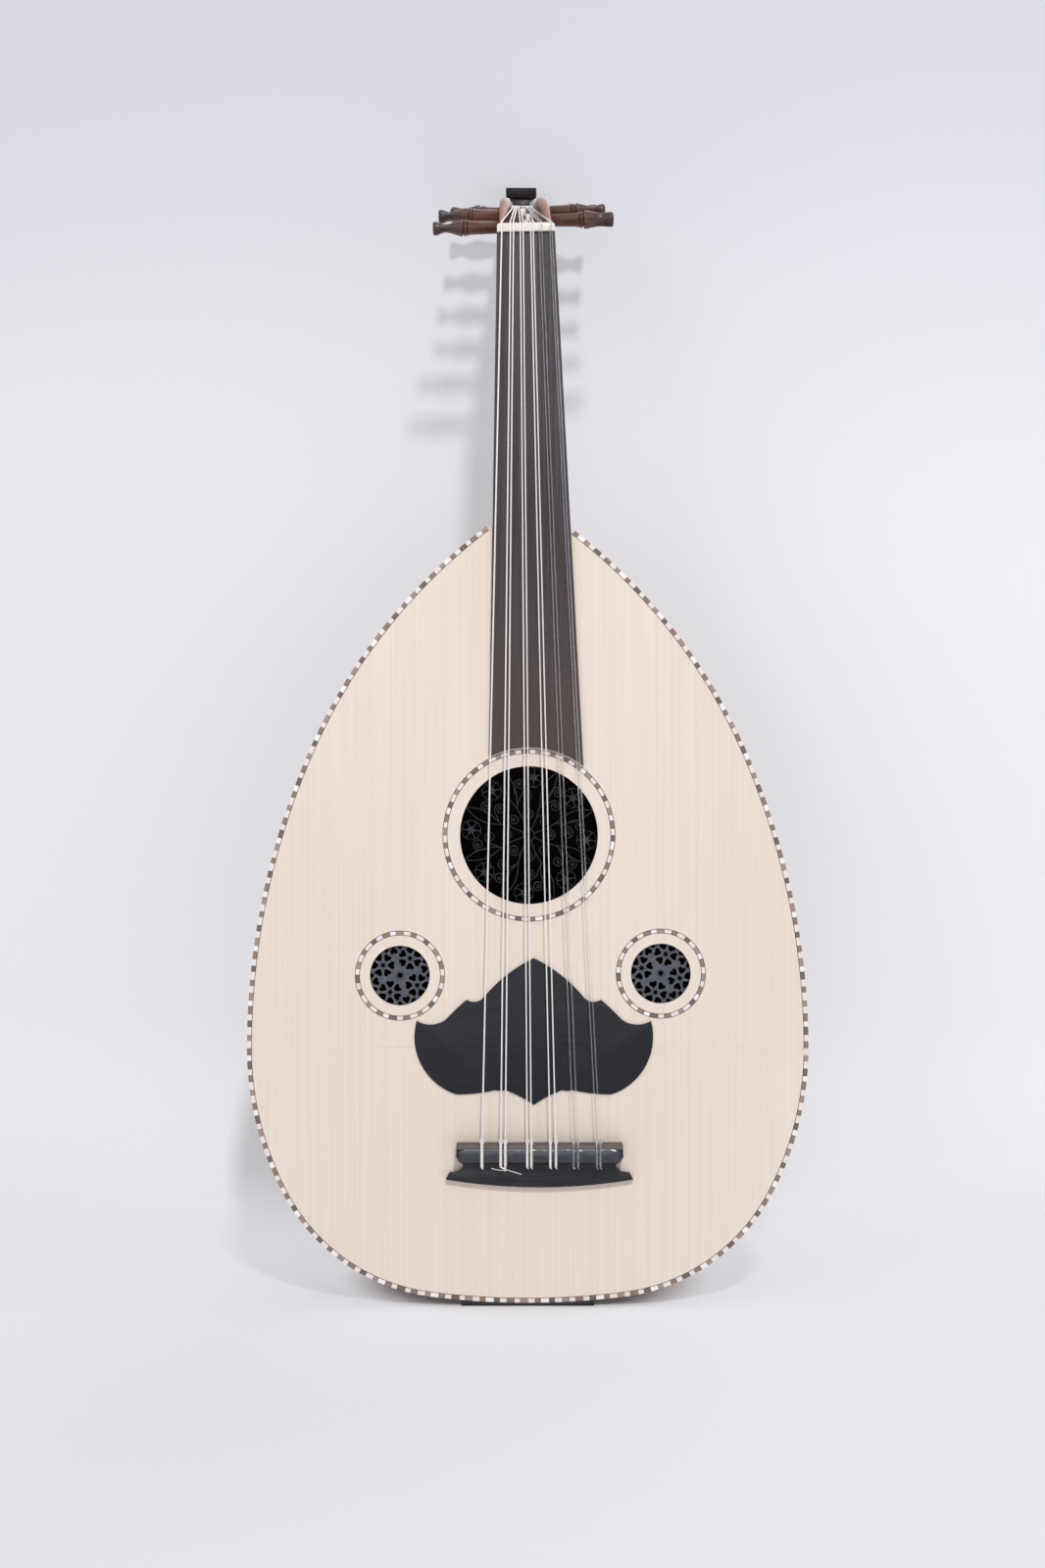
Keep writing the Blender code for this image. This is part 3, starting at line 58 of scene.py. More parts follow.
def linear(code):
    channels = [int(code[i:i + 2], 16) / 255 for i in (1, 3, 5)]
    return [c / 12.92 if c <= 0.04045 else ((c + 0.055) / 1.055) ** 2.4 for c in channels] + [1.0]


def newMaterial(name):
    material = bpy.data.materials.new(name)
    material.use_nodes = True
    return material, material.node_tree, material.node_tree.nodes["Principled BSDF"]


# Adds a node: settings are its properties, and inputs are values or sockets to link from.
def addNode(tree, kind, inputs=None, **settings):
    node = tree.nodes.new(kind)
    for key, value in settings.items():
        setattr(node, key, value)
    for key, value in (inputs or {}).items():
        if isinstance(value, bpy.types.NodeSocket):
            tree.links.new(value, node.inputs[key])
        else:
            node.inputs[key].default_value = value
    return node


def setRamp(node, stops):
    ramp = node.color_ramp
    while len(ramp.elements) < len(stops):
        ramp.elements.new(0.5)
    for element, (position, code) in zip(ramp.elements, stops):
        element.position = position
        element.color = linear(code)
    return node


def newPiece(name, builder, materials, body, smooth=None):
    mesh = bpy.data.meshes.new(name)
    builder.to_mesh(mesh)
    builder.free()
    for material in materials:
        mesh.materials.append(material)
    if smooth is not None:
        mesh.shade_smooth()
        mesh.set_sharp_from_angle(angle=math.radians(smooth))
    piece = bpy.data.objects.new(name, mesh)
    bpy.context.scene.collection.objects.link(piece)
    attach(piece, body)
    return piece


def setMaterial(node, material):
    mesh = frame["nodes"][node].data
    mesh.materials.clear()
    mesh.materials.append(material)


def bodyPoint(x, y, z):
    return Vector((x, y + faceY, z + tailZ))


# A skin over loops of equal length, closed by an end face at either end.
def skin(builder, loops, materialAt=None):
    rows = [[builder.verts.new(point) for point in loop] for loop in loops]
    builder.faces.new(rows[0])
    builder.faces.new(rows[-1][::-1])
    for near, far in zip(rows, rows[1:]):
        for i in range(len(near)):
            j = (i + 1) % len(near)
            face = builder.faces.new((near[i], near[j], far[j], far[i]))
            face.material_index = materialAt(i) if materialAt else 0


# Takes the hard edges off a mesh as sandpaper does. Edges shorter than the least length are left alone.
def easeEdges(builder, radius, segments=2, sharpFrom=40, least=0.0):
    edges = []
    for edge in builder.edges:
        if edge.is_manifold and edge.calc_face_angle() > math.radians(sharpFrom) and edge.calc_length() > least:
            edges.append(edge)
    bmesh.ops.bevel(builder, geom=edges, offset=radius, offset_type="OFFSET", segments=segments, profile=0.5,
                    affect="EDGES", clamp_overlap=True, material=-1)


# A finished copy of a solid that is right in shape: its doubles merged, flat parts joined and edges eased.
def easedCopy(node, material, radius, segments=2, smooth=38, sharpFrom=40, flat=0.6):
    builder = bmesh.new()
    builder.from_mesh(frame["nodes"][node].data)
    bmesh.ops.remove_doubles(builder, verts=builder.verts, dist=0.00001)
    bmesh.ops.dissolve_limit(builder, angle_limit=math.radians(flat), verts=builder.verts, edges=builder.edges)
    easeEdges(builder, radius, segments, sharpFrom)
    for face in builder.faces:
        face.material_index = 0
    piece = newPiece(f"{node}_eased", builder, [material], "instrument", smooth)
    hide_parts(node)
    return piece


# Noise of scale 1 has one blotch to a metre, so a pattern's sizes in millimetres become its mapping's scale.
def perMetre(sizes):
    return [1000 / size for size in sizes]


# Wood: long grain from stretched noise, and a slow change of tone. The sizes of a streak of grain and of a patch
# of tone are in millimetres.
def woodMaterial(name, recipe):
    material, tree, shader = newMaterial(name)
    coords = addNode(tree, "ShaderNodeTexCoord")
    grainMap = addNode(tree, "ShaderNodeMapping", {
        "Vector": coords.outputs["Object"], "Scale": perMetre(recipe["grain"]),
    })
    grain = addNode(tree, "ShaderNodeTexNoise", {
        "Vector": grainMap.outputs[0], "Scale": 1.0, "Detail": 6.0, "Roughness": 0.6, "Distortion": 0.15,
    })
    toneMap = addNode(tree, "ShaderNodeMapping", {
        "Vector": coords.outputs["Object"], "Scale": perMetre(recipe["tone"]),
    })
    tone = addNode(tree, "ShaderNodeTexNoise", {"Vector": toneMap.outputs[0], "Scale": 1.0, "Detail": 3.0})
    colour = setRamp(addNode(tree, "ShaderNodeValToRGB", {"Fac": grain.outputs["Fac"]}), recipe["grainColours"])
    shade = setRamp(addNode(tree, "ShaderNodeValToRGB", {"Fac": tone.outputs["Fac"]}), recipe["toneColours"])
    mixed = addNode(tree, "ShaderNodeMix", {
        "Factor": recipe["toneShare"], "A": colour.outputs[0], "B": shade.outputs[0],
    }, data_type="RGBA", blend_type="MULTIPLY")
    bump = addNode(tree, "ShaderNodeBump", {
        "Height": grain.outputs["Fac"], "Strength": recipe["bump"], "Distance": 0.0002,
    })
    rough = addNode(tree, "ShaderNodeMapRange", {
        "Value": grain.outputs["Fac"], "To Min": recipe["roughness"] - 0.05, "To Max": recipe["roughness"] + 0.08,
    })
    tree.links.new(mixed.outputs["Result"], shader.inputs["Base Color"])
    tree.links.new(bump.outputs[0], shader.inputs["Normal"])
    tree.links.new(rough.outputs[0], shader.inputs["Roughness"])
    shader.inputs["Coat Weight"].default_value = recipe.get("polish", 0.0)
    shader.inputs["Specular IOR Level"].default_value = recipe.get("shine", 0.5)
    return material


# Lays a second colour over a material as one coordinate runs from start to end.
def addTint(material, axis, start, end, code, share, mirrored=False):
    tree = material.node_tree
    shader = tree.nodes["Principled BSDF"]
    under = shader.inputs["Base Color"].links[0].from_socket
    coords = addNode(tree, "ShaderNodeTexCoord")
    parts = addNode(tree, "ShaderNodeSeparateXYZ", {"Vector": coords.outputs["Object"]})
    value = parts.outputs["XYZ".index(axis)]
    if mirrored:
        value = addNode(tree, "ShaderNodeMath", {0: value}, operation="ABSOLUTE").outputs[0]
    reach = addNode(tree, "ShaderNodeMapRange", {
        "Value": value, "From Min": start, "From Max": end, "To Min": 0.0, "To Max": share,
    }, interpolation_type="SMOOTHSTEP")
    mixed = addNode(tree, "ShaderNodeMix", {
        "Factor": reach.outputs[0], "A": under, "B": linear(code),
    }, data_type="RGBA")
    tree.links.new(mixed.outputs["Result"], shader.inputs["Base Color"])


# Quarter-sawn spruce under thin satin lacquer: upright grain lines. They are a third coarser than the real
# ones, which would be lost between the picture's points.
spruceTop = woodMaterial("quarter-sawn spruce", {
    "grain": (1.4, 16.7, 250), "tone": (111, 250, 333), "toneShare": 0.5, "bump": 0.03, "roughness": 0.48,
    "grainColours": ((0.28, "#EADBCD"), (0.50, "#EFE1D4"), (0.74, "#F2E6DA")),
    "toneColours": ((0.30, "#F6F0EB"), (0.70, "#FFFFFF")),
})
# Inner spruce is left bare, so it is duller than the top.
spruceBare = woodMaterial("bare spruce", {
    "grain": (25, 25, 1.4), "tone": (111, 111, 111), "toneShare": 0.8, "bump": 0.1, "roughness": 0.7,
    "grainColours": ((0.30, "#CDB391"), (0.70, "#E0CBAA")),
    "toneColours": ((0.30, "#E8E0D6"), (0.70, "#FFFFFF")),
})
# Walnut for the ribs: long brown figure, French polished.
walnutDark = woodMaterial("polished walnut", {
    "grain": (5.3, 5.3, 143), "tone": (62, 62, 200), "toneShare": 0.85, "bump": 0.06, "roughness": 0.34,
    "grainColours": ((0.28, "#4A2A1A"), (0.50, "#6E4229"), (0.72, "#8A5A3A")),
    "toneColours": ((0.30, "#C8B0A0"), (0.70, "#FFFFFF")), "polish": 0.5,
})
# Every other rib is cut from paler heartwood.
walnutPale = woodMaterial("pale walnut", {
    "grain": (5.3, 5.3, 143), "tone": (62, 62, 200), "toneShare": 0.85, "bump": 0.06, "roughness": 0.34,
    "grainColours": ((0.28, "#7A4C2E"), (0.50, "#9A6A45"), (0.72, "#B4855C")),
    "toneColours": ((0.30, "#D8C4B4"), (0.70, "#FFFFFF")), "polish": 0.5,
})
# The ribs' inner faces are left raw, coloured a near-black brown.
walnutRaw = woodMaterial("raw walnut", {
    "grain": (5.3, 5.3, 143), "tone": (62, 62, 200), "toneShare": 0.8, "bump": 0.1, "roughness": 0.8,
    "grainColours": ((0.28, "#1E1512"), (0.72, "#33251D")),
    "toneColours": ((0.30, "#D8C4B4"), (0.70, "#FFFFFF")),
})
# Beech stained reddish brown. On the cheeks a painted sheen lays grey along their upper edges.
beechStained = woodMaterial("stained beech", {
    "grain": (2.4, 2.4, 71), "tone": (16.7, 16.7, 45), "toneShare": 0.8, "bump": 0.12, "roughness": 0.42,
    "grainColours": ((0.28, "#7C574A"), (0.52, "#9A7565"), (0.78, "#B08E7E")),
    "toneColours": ((0.30, "#CFC0BA"), (0.70, "#FFFFFF")),
})
beechWithPaintedSheen = woodMaterial("stained beech, painted grey sheen on top", {
    "grain": (2.4, 38, 3.3), "tone": (16.7, 16.7, 16.7), "toneShare": 0.7, "bump": 0.12, "roughness": 0.46,
    "grainColours": ((0.28, "#8A5F50"), (0.52, "#AC8374"), (0.78, "#C4A090")),
    "toneColours": ((0.30, "#DACCC6"), (0.70, "#FFFFFF")),
})
# Painted sheen: grey laid over the cheeks towards their tops, where the light from above catches them.
addTint(beechWithPaintedSheen, "Z", 0.652, 0.681, "#CFC5C3", 0.7)
# Ebonised hardwood: black stain that lets brown grain through where the bowing of strings has rubbed it.
ebonyWorn = woodMaterial("ebonised fingerboard", {
    "grain": (1.6, 1.6, 111), "tone": (33, 33, 111), "toneShare": 0.6, "bump": 0.10, "roughness": 0.50,
    "grainColours": ((0.30, "#3B3437"), (0.52, "#4A4346"), (0.78, "#5E5659")),
    "toneColours": ((0.30, "#D8D2D0"), (0.70, "#FFFFFF")), "shine": 0.2,
})
addTint(ebonyWorn, "Z", 0.46, 0.33, "#594B46", 0.75)
ebonyBlue = woodMaterial("ebonised bridge", {
    "grain": (16.7, 1.1, 1.1), "tone": (6.2, 6.2, 6.2), "toneShare": 0.7, "bump": 0.16, "roughness": 0.38,
    "grainColours": ((0.28, "#16181C"), (0.52, "#212328"), (0.78, "#303338")),
    "toneColours": ((0.32, "#BFC0C8"), (0.68, "#FFFFFF")), "polish": 0.1, "shine": 0.3,
})
ebonyDusty = woodMaterial("ebonised shelf, rubbed brown", {
    "grain": (16.7, 1.1, 1.1), "tone": (6.2, 6.2, 6.2), "toneShare": 0.7, "bump": 0.16, "roughness": 0.6,
    "grainColours": ((0.28, "#554C49"), (0.52, "#665C58"), (0.78, "#786D68")),
    "toneColours": ((0.32, "#CFC8C4"), (0.68, "#FFFFFF")),
})
# The tail edge of the bridge's foot, where the black has worn off the brown wood
ebonyRim = woodMaterial("worn edge of the bridge", {
    "grain": (16.7, 1.1, 1.1), "tone": (6.2, 6.2, 6.2), "toneShare": 0.7, "bump": 0.1, "roughness": 0.5,
    "grainColours": ((0.28, "#4A332B"), (0.52, "#6B4A3C"), (0.78, "#85604E")),
    "toneColours": ((0.32, "#A89890"), (0.68, "#FFFFFF")),
})
# The bar is rubbed to a gloss by the strings tied over it, blue-black like the stain.
ebonyGlossy = woodMaterial("glossy ebonised bar", {
    "grain": (16.7, 1.4, 1.4), "tone": (5.0, 2.0, 5.0), "toneShare": 0.8, "bump": 0.2, "roughness": 0.27,
    "grainColours": ((0.28, "#131924"), (0.52, "#1C2534"), (0.78, "#303A4C")),
    "toneColours": ((0.32, "#9A9CA8"), (0.68, "#FFFFFF")), "polish": 0.6, "shine": 0.5,
})
ebonyPlate = woodMaterial("ebonised pickguard", {
    "grain": (71, 3.3, 2.4), "tone": (40, 40, 40), "toneShare": 0.6, "bump": 0.04, "roughness": 0.46,
    "grainColours": ((0.30, "#1F2127"), (0.55, "#24262C"), (0.80, "#2A2C32")),
    "toneColours": ((0.30, "#E4E4E8"), (0.70, "#FFFFFF")), "shine": 0.2,
})
ebonyCarved = woodMaterial("ebonised finial", {
    "grain": (2.0, 16.7, 2.0), "tone": (11.1, 11.1, 11.1), "toneShare": 0.7, "bump": 0.15, "roughness": 0.34,
    "grainColours": ((0.30, "#1A1317"), (0.55, "#2A2028"), (0.80, "#4A3E45")),
    "toneColours": ((0.30, "#B8B0B4"), (0.70, "#FFFFFF")), "polish": 0.05, "shine": 0.25,
})
# Turned rosewood: red-brown shafts streaked with black along their length, and heads darkened by handling.
rosewoodTurned = woodMaterial("turned rosewood", {
    "grain": (38, 1.6, 1.6), "tone": (14.3, 7.1, 7.1), "toneShare": 0.8, "bump": 0.14, "roughness": 0.36,
    "grainColours": ((0.30, "#432A23"), (0.50, "#6E493E"), (0.74, "#926353")),
    "toneColours": ((0.32, "#A89C9C"), (0.66, "#FFFFFF")), "polish": 0.1, "shine": 0.4,
})
addTint(rosewoodTurned, "X", 0.031, 0.047, "#33211F", 0.82, mirrored=True)
# Cut fibre sheet behind the large sound hole: flat black, hardly lighter than the hollow bowl behind it.
fibreBlack = woodMaterial("black fibre sheet", {
    "grain": (3.3, 3.3, 3.3), "tone": (16.7, 16.7, 16.7), "toneShare": 0.5, "bump": 0.05, "roughness": 0.55,
    "grainColours": ((0.30, "#26292E"), (0.70, "#34383E")),
    "toneColours": ((0.30, "#D8D8DC"), (0.70, "#FFFFFF")), "shine": 0.2,
})
# The small ones are cut from the black sheet, painted lavender grey: a painted sheen for the light caught on their thin
# cut lattice.
fibrePaintedSheen = woodMaterial("black fibre sheet, painted grey sheen", {
    "grain": (3.3, 3.3, 3.3), "tone": (16.7, 16.7, 16.7), "toneShare": 0.6, "bump": 0.05, "roughness": 0.60,
    "grainColours": ((0.30, "#50535B"), (0.70, "#666973")),
    "toneColours": ((0.30, "#D0D0D6"), (0.70, "#FFFFFF")), "shine": 0.2,
})


# Plain materials: one colour with a fine mottle, for small pieces.

def smallMaterial(name, dark, pale, roughness, scale=900, metallic=0.0, bump=0.03):
    material, tree, shader = newMaterial(name)
    coords = addNode(tree, "ShaderNodeTexCoord")
    noise = addNode(tree, "ShaderNodeTexNoise", {
        "Vector": coords.outputs["Object"], "Scale": scale, "Detail": 4.0, "Roughness": 0.6,
    })
    colour = setRamp(addNode(tree, "ShaderNodeValToRGB", {"Fac": noise.outputs["Fac"]}), ((0.35, dark), (0.65, pale)))
    bumpNode = addNode(tree, "ShaderNodeBump", {
        "Height": noise.outputs["Fac"], "Strength": bump, "Distance": 0.0001,
    })
    tree.links.new(colour.outputs[0], shader.inputs["Base Color"])
    tree.links.new(bumpNode.outputs[0], shader.inputs["Normal"])
    shader.inputs["Roughness"].default_value = roughness
    shader.inputs["Metallic"].default_value = metallic
    return material


boneNut = smallMaterial("polished bone", "#E6DDD4", "#EFE8DF", 0.30)
# Silver-plated copper wound on silk: bright, with the soft sheen of fine turns.
silverWinding = smallMaterial("silver-plated winding", "#EFE7E4", "#FCF8F6", 0.42, 2600, 0.15, 0.4)
clearNylon = smallMaterial("clear nylon", "#EDEFF4", "#F6F7FA", 0.10, 500)
clearNylon.node_tree.nodes["Principled BSDF"].inputs["Transmission Weight"].default_value = 0.9
clearNylon.node_tree.nodes["Principled BSDF"].inputs["IOR"].default_value = 1.36
tileCream = smallMaterial("cream bone tile", "#EBDFD8", "#F4EBE6", 0.34, 1200)
tileWhite = smallMaterial("white bone tile", "#F6F0EE", "#FDFAF9", 0.34, 1200)
tileBrown = smallMaterial("brown walnut tile", "#7E695C", "#988172", 0.40, 1500)
tileRose = smallMaterial("rose walnut tile", "#967F73", "#AE988C", 0.40, 1500)
tileDark = smallMaterial("dark walnut tile", "#5E524A", "#786A60", 0.40, 1500)
inlayLine = smallMaterial("black stringing line", "#2E2725", "#3B3330", 0.45, 1500)
tileMaterials = [tileCream, tileWhite, tileBrown, tileRose, tileDark, inlayLine, spruceTop]
print("materials made")


# Outline of the body: five compass arcs a side, drawn inside by an inset

bodyOutline = {
    "halfWidth": 0.1661, "widest": 0.1506, "tail": 0.456, "corner": 0.1145, "hip": 0.1845,
    "flank": 0.440, "shoulderZ": 0.327, "jointX": 0.0246, "jointZ": 0.4595, "depth": 0.161,
}


# The shoulder arc leaves the flank smoothly and ends beside the fingerboard.
def halfOutline(steps, inset=0.0):
    o = bodyOutline
    flankCentre = Vector((o["halfWidth"] - o["flank"], o["widest"]))
    flankTurn = math.asin((o["shoulderZ"] - o["widest"]) / o["flank"])
    towards = Vector((math.cos(flankTurn), math.sin(flankTurn)))
    meeting = flankCentre + towards * o["flank"]
    rise = Vector((o["jointX"], o["jointZ"])) - meeting
    shoulder = -rise.length_squared / (2 * rise.dot(towards))
    shoulderCentre = meeting - towards * shoulder
    topTurn = math.asin((o["jointZ"] - shoulderCentre.y) / (shoulder - inset))
    hipCentre = Vector((o["halfWidth"] - o["hip"], o["widest"]))
    tailCentre = Vector((0.0, o["tail"]))
    fromHip, fromTail = o["hip"] - o["corner"], o["tail"] - o["corner"]
    between = tailCentre - hipCentre
    along = (fromHip ** 2 - fromTail ** 2 + between.length_squared) / (2 * between.length)
    across = math.sqrt(fromHip ** 2 - along ** 2)
    unit = between.normalized()
    cornerCentre = hipCentre + unit * along + Vector((unit.y, -unit.x)) * across
    hipTurn = math.atan2(cornerCentre.y - hipCentre.y, cornerCentre.x - hipCentre.x)
    cornerTurn = math.atan2(cornerCentre.y - tailCentre.y, cornerCentre.x - tailCentre.x)
    arcs = (
        (shoulderCentre, shoulder, topTurn, flankTurn),
        (flankCentre, o["flank"], flankTurn, 0.0),
        (hipCentre, o["hip"], 0.0, hipTurn),
        (cornerCentre, o["corner"], hipTurn, cornerTurn),
        (tailCentre, o["tail"], cornerTurn, -math.pi / 2),
    )
    points = []
    for centre, radius, start, end in arcs:
        count = max(2, round(abs(end - start) * radius / steps))
        for i in range(bool(points), count + 1):
            turn = start + (end - start) * i / count
            points.append(centre + Vector((math.cos(turn), math.sin(turn))) * (radius - inset))
    return points


def wholeOutline(step, inset=0.0):
    right = halfOutline(step, inset)
    return right + [Vector((-p.x, p.y)) for p in reversed(right[:-1])]


# Points at even distances along a line, with the unit vector to its inner side
def evenPoints(line, spacing):
    lengths = [0.0]
    for a, b in zip(line, line[1:]):
        lengths.append(lengths[-1] + (b - a).length)
    count = round(lengths[-1] / spacing)
    result, segment = [], 0
    for i in range(count + 1):
        target = lengths[-1] * i / count
        while segment < len(line) - 2 and lengths[segment + 1] < target:
            segment += 1
        a, b = line[segment], line[segment + 1]
        t = (target - lengths[segment]) / (lengths[segment + 1] - lengths[segment])
        ahead = (b - a).normalized()
        result.append((a.lerp(b, t), Vector((ahead.y, -ahead.x))))
    return result


# Tiles let into the soundboard: every tile is its own low slab, with a dark line beside the row

tileRow = {
    "tile": 0.0041, "edgeWidth": 0.0025, "ringWidth": 0.0021, "line": 0.00038, "height": 0.0009, "proud": 0.00005,
    "joint": 0.00006,
    # How far the pale tiles reach over their share at either end, and how unevenly all were cut by hand
    "paleExtra": -0.00005, "uneven": 0.00045,
    # The strip of spruce beside the lines closes the joint round the inlay.
    "closing": 0.00032,
}


def slab(builder, corners, front, back, material):
    rows = [[builder.verts.new(bodyPoint(p.x, y, p.y)) for p in corners] for y in (front, back)]
    faces = [builder.faces.new(rows[0]), builder.faces.new(rows[1][::-1])]
    for i in range(len(corners)):
        j = (i + 1) % len(corners)
        faces.append(builder.faces.new((rows[0][i], rows[1][i], rows[1][j], rows[0][j])))
    for face in faces:
        face.material_index = material


def tileShade(index):
    if index % 2 == 0:
        return (0, 1, 0, 0)[index // 2 % 4]
    return (2, 3, 4, 2, 3, 2, 4)[index // 2 % 7]


# Each band is an offset from the stations, a width and a material, and a band without one is the row of tiles.
def tileStrip(builder, stations, bands):
    count = len(stations) - 1
    line = []
    for index, (point, side) in enumerate(stations):
        ahead = Vector((-side.y, side.x))
        line.append((point + ahead * tileRow["uneven"] * math.sin(2.4 * (index % count)), side))
    for index, ((p, side), (q, sideAfter)) in enumerate(zip(line, line[1:])):
        end = tileRow["joint"] + (tileRow["paleExtra"] if index % 2 else -tileRow["paleExtra"])
        along = (q - p).normalized() * end
        # Each tile bows with the row, so that a ring stays round.
        bow = math.tan((math.atan2(sideAfter.y, sideAfter.x) - math.atan2(side.y, side.x)) / 4)
        for start, breadth, shade in bands:
            gap = along if shade is None else Vector((0.0, 0.0))
            corners = []
            for a, b in ((p + side * start + gap, q + sideAfter * start - gap),
                         (q + sideAfter * (start + breadth) - gap, p + side * (start + breadth) + gap)):
                across = Vector((a.y - b.y, b.x - a.x)) / 2
                corners += [a, (a + b) / 2 - across * (bow if len(corners) == 0 else -bow), b]
            slab(builder, corners, -tileRow["proud"], tileRow["height"], tileShade(index) if shade is None else shade)


def makeEdgeTiles():
    stations = evenPoints(wholeOutline(0.004), tileRow["tile"])
    width, line = tileRow["edgeWidth"], tileRow["line"]
    builder = bmesh.new()
    margin = 0.0034 + tileRow["closing"] - width - line
    tileStrip(builder, stations, ((0.0, width, None), (width, line, 5), (width + line, margin, 6)))
    bmesh.ops.recalc_face_normals(builder, faces=builder.faces)
    piece = newPiece("edge_tiles", builder, tileMaterials, "instrument")
    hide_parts("edge_binding")


soundHoles = {
    "main": {"centre": (0.00075, 0.2767), "radius": 0.0497, "width": 0.0034, "tile": 0.0041},
    "left": {"centre": (-0.0756, 0.1936), "radius": 0.0252, "width": 0.0031, "tile": 0.0041},
    "right": {"centre": (0.0788, 0.1948), "radius": 0.0252, "width": 0.0031, "tile": 0.0041},
}


def makeTileRing(label, ring):
    pairs = round(2 * math.pi * ring["radius"] / ring["tile"] / 2)
    count = pairs * 2
    centre = Vector(ring["centre"])
    whole = ring["width"] + 2 * tileRow["closing"]
    stations = []
    for i in range(count + 1):
        turn = 2 * math.pi * i / count
        outward = Vector((math.cos(turn), math.sin(turn)))
        stations.append((centre + outward * (ring["radius"] + whole / 2), -outward))
    width, line = tileRow["ringWidth"], tileRow["line"]
    margin = whole / 2 - width / 2 - line
    builder = bmesh.new()
    tileStrip(builder, stations, (
        (0.0, margin, 6), (margin, line, 5), (margin + line, width, None), (margin + line + width, line, 5),
        (margin + 2 * line + width, margin, 6),
    ))
    bmesh.ops.recalc_face_normals(builder, faces=builder.faces)
    piece = newPiece(f"{label}_ring_tiles", builder, tileMaterials, "instrument")
    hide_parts(f"{label}_tile_ring")


makeEdgeTiles()
for label, ring in soundHoles.items():
    makeTileRing(label, ring)
print("tiles laid")


# Bowl: ribs with smooth curves along their length

ribPlan = {"count": 15, "thickness": 0.0028, "seam": 0.00012, "face": 0.0021, "end": 0.008, "across": 4,
           "crown": 0.0004, "line": 0.0006}


def ribStations():
    points = [p for p in halfOutline(0.009) if p.x > ribPlan["end"]]
    return points


def bowlPoint(stations, i, turn, sink):
    o = bodyOutline
    ratio = o["depth"] / o["halfWidth"]
    p = stations[i]
    before, after = stations[max(i - 1, 0)], stations[min(i + 1, len(stations) - 1)]
    slope = (before - after).normalized()
    cos, sin = math.cos(turn), math.sin(turn)
    along = Vector((slope.x * cos, slope.x * sin * ratio, slope.y))
    around = Vector((-sin, cos * ratio, 0.0)).normalized()
    outward = around.cross(along).normalized()
    return Vector((p.x * cos, ribPlan["face"] + p.x * sin * ratio, p.y)) - outward * sink, around, outward


def makeRibs():
    stations = ribStations()
    step = math.pi / ribPlan["count"]
    across = ribPlan["across"]
    for k in range(ribPlan["count"]):
        loops = []
        for i, p in enumerate(stations):
            near, around, _ = bowlPoint(stations, i, k * step, 0.0)
            near += around * ribPlan["seam"]
            far, around, _ = bowlPoint(stations, i, (k + 1) * step, 0.0)
            far -= around * ribPlan["seam"]
            outward = bowlPoint(stations, i, (k + 0.5) * step, 0.0)[2]
            loop = []
            for j in range(across + 1):
                t = j / across
                crown = ribPlan["crown"] * 4 * t * (1 - t) * min(1.0, p.x / 0.05)
                loop.append(near.lerp(far, t) + outward * crown)
            loop += [point - outward * ribPlan["thickness"] for point in (far, near)]
            loops.append([point + Vector((0, faceY, tailZ)) for point in loop])
        builder = bmesh.new()
        skin(builder, loops, lambda i: 1 if i > across else 0)
        bmesh.ops.recalc_face_normals(builder, faces=builder.faces)
        wood = walnutPale if k % 2 else walnutDark
        piece = newPiece(f"bowl_rib_{k + 1:02d}", builder, [wood, walnutRaw], "instrument", smooth=35)
        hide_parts(f"rib_{k + 1:02d}")


# Thin dark strips let in between the ribs
def makeSeams():
    stations = ribStations()
    step = math.pi / ribPlan["count"]
    half = ribPlan["line"] / 2
    builder = bmesh.new()
    for k in range(1, ribPlan["count"]):
        loops = []
        for i in range(len(stations)):
            point, around, outward = bowlPoint(stations, i, k * step, 0.0)
            loop = [point + around * side * half + outward * level
                    for side, level in ((-1, 0.00008), (1, 0.00008), (1, -0.0012), (-1, -0.0012))]
            loops.append([corner + Vector((0, faceY, tailZ)) for corner in loop])
        skin(builder, loops)
    bmesh.ops.recalc_face_normals(builder, faces=builder.faces)
    piece = newPiece("rib_seams", builder, [inlayLine], "instrument", smooth=35)


makeRibs()
makeSeams()
print("ribs bent")


# Pieces that keep the shape of their solids, with their edges eased

easedCopy("fingerboard", ebonyWorn, 0.0003)
easedCopy("neck", beechStained, 0.0003, smooth=30)
easedCopy("pegbox_left_cheek", beechWithPaintedSheen, 0.00025, flat=0.05)
easedCopy("pegbox_right_cheek", beechWithPaintedSheen, 0.00025, flat=0.05)
easedCopy("pegbox_floor", beechStained, 0.0003)
easedCopy("nut", boneNut, 0.0004)
easedCopy("end_clasp", ebonyBlue, 0.0004)
for node in ("brace_1", "brace_2", "brace_3", "tail_block", "neck_block"):
    setMaterial(node, spruceBare)
print("edges eased")


# Rosettes: plates behind the sound holes. Outlines are laid over one another, the last on top, and each is either
# wood or an opening. The millimetres and angles are from the middle of each plate.

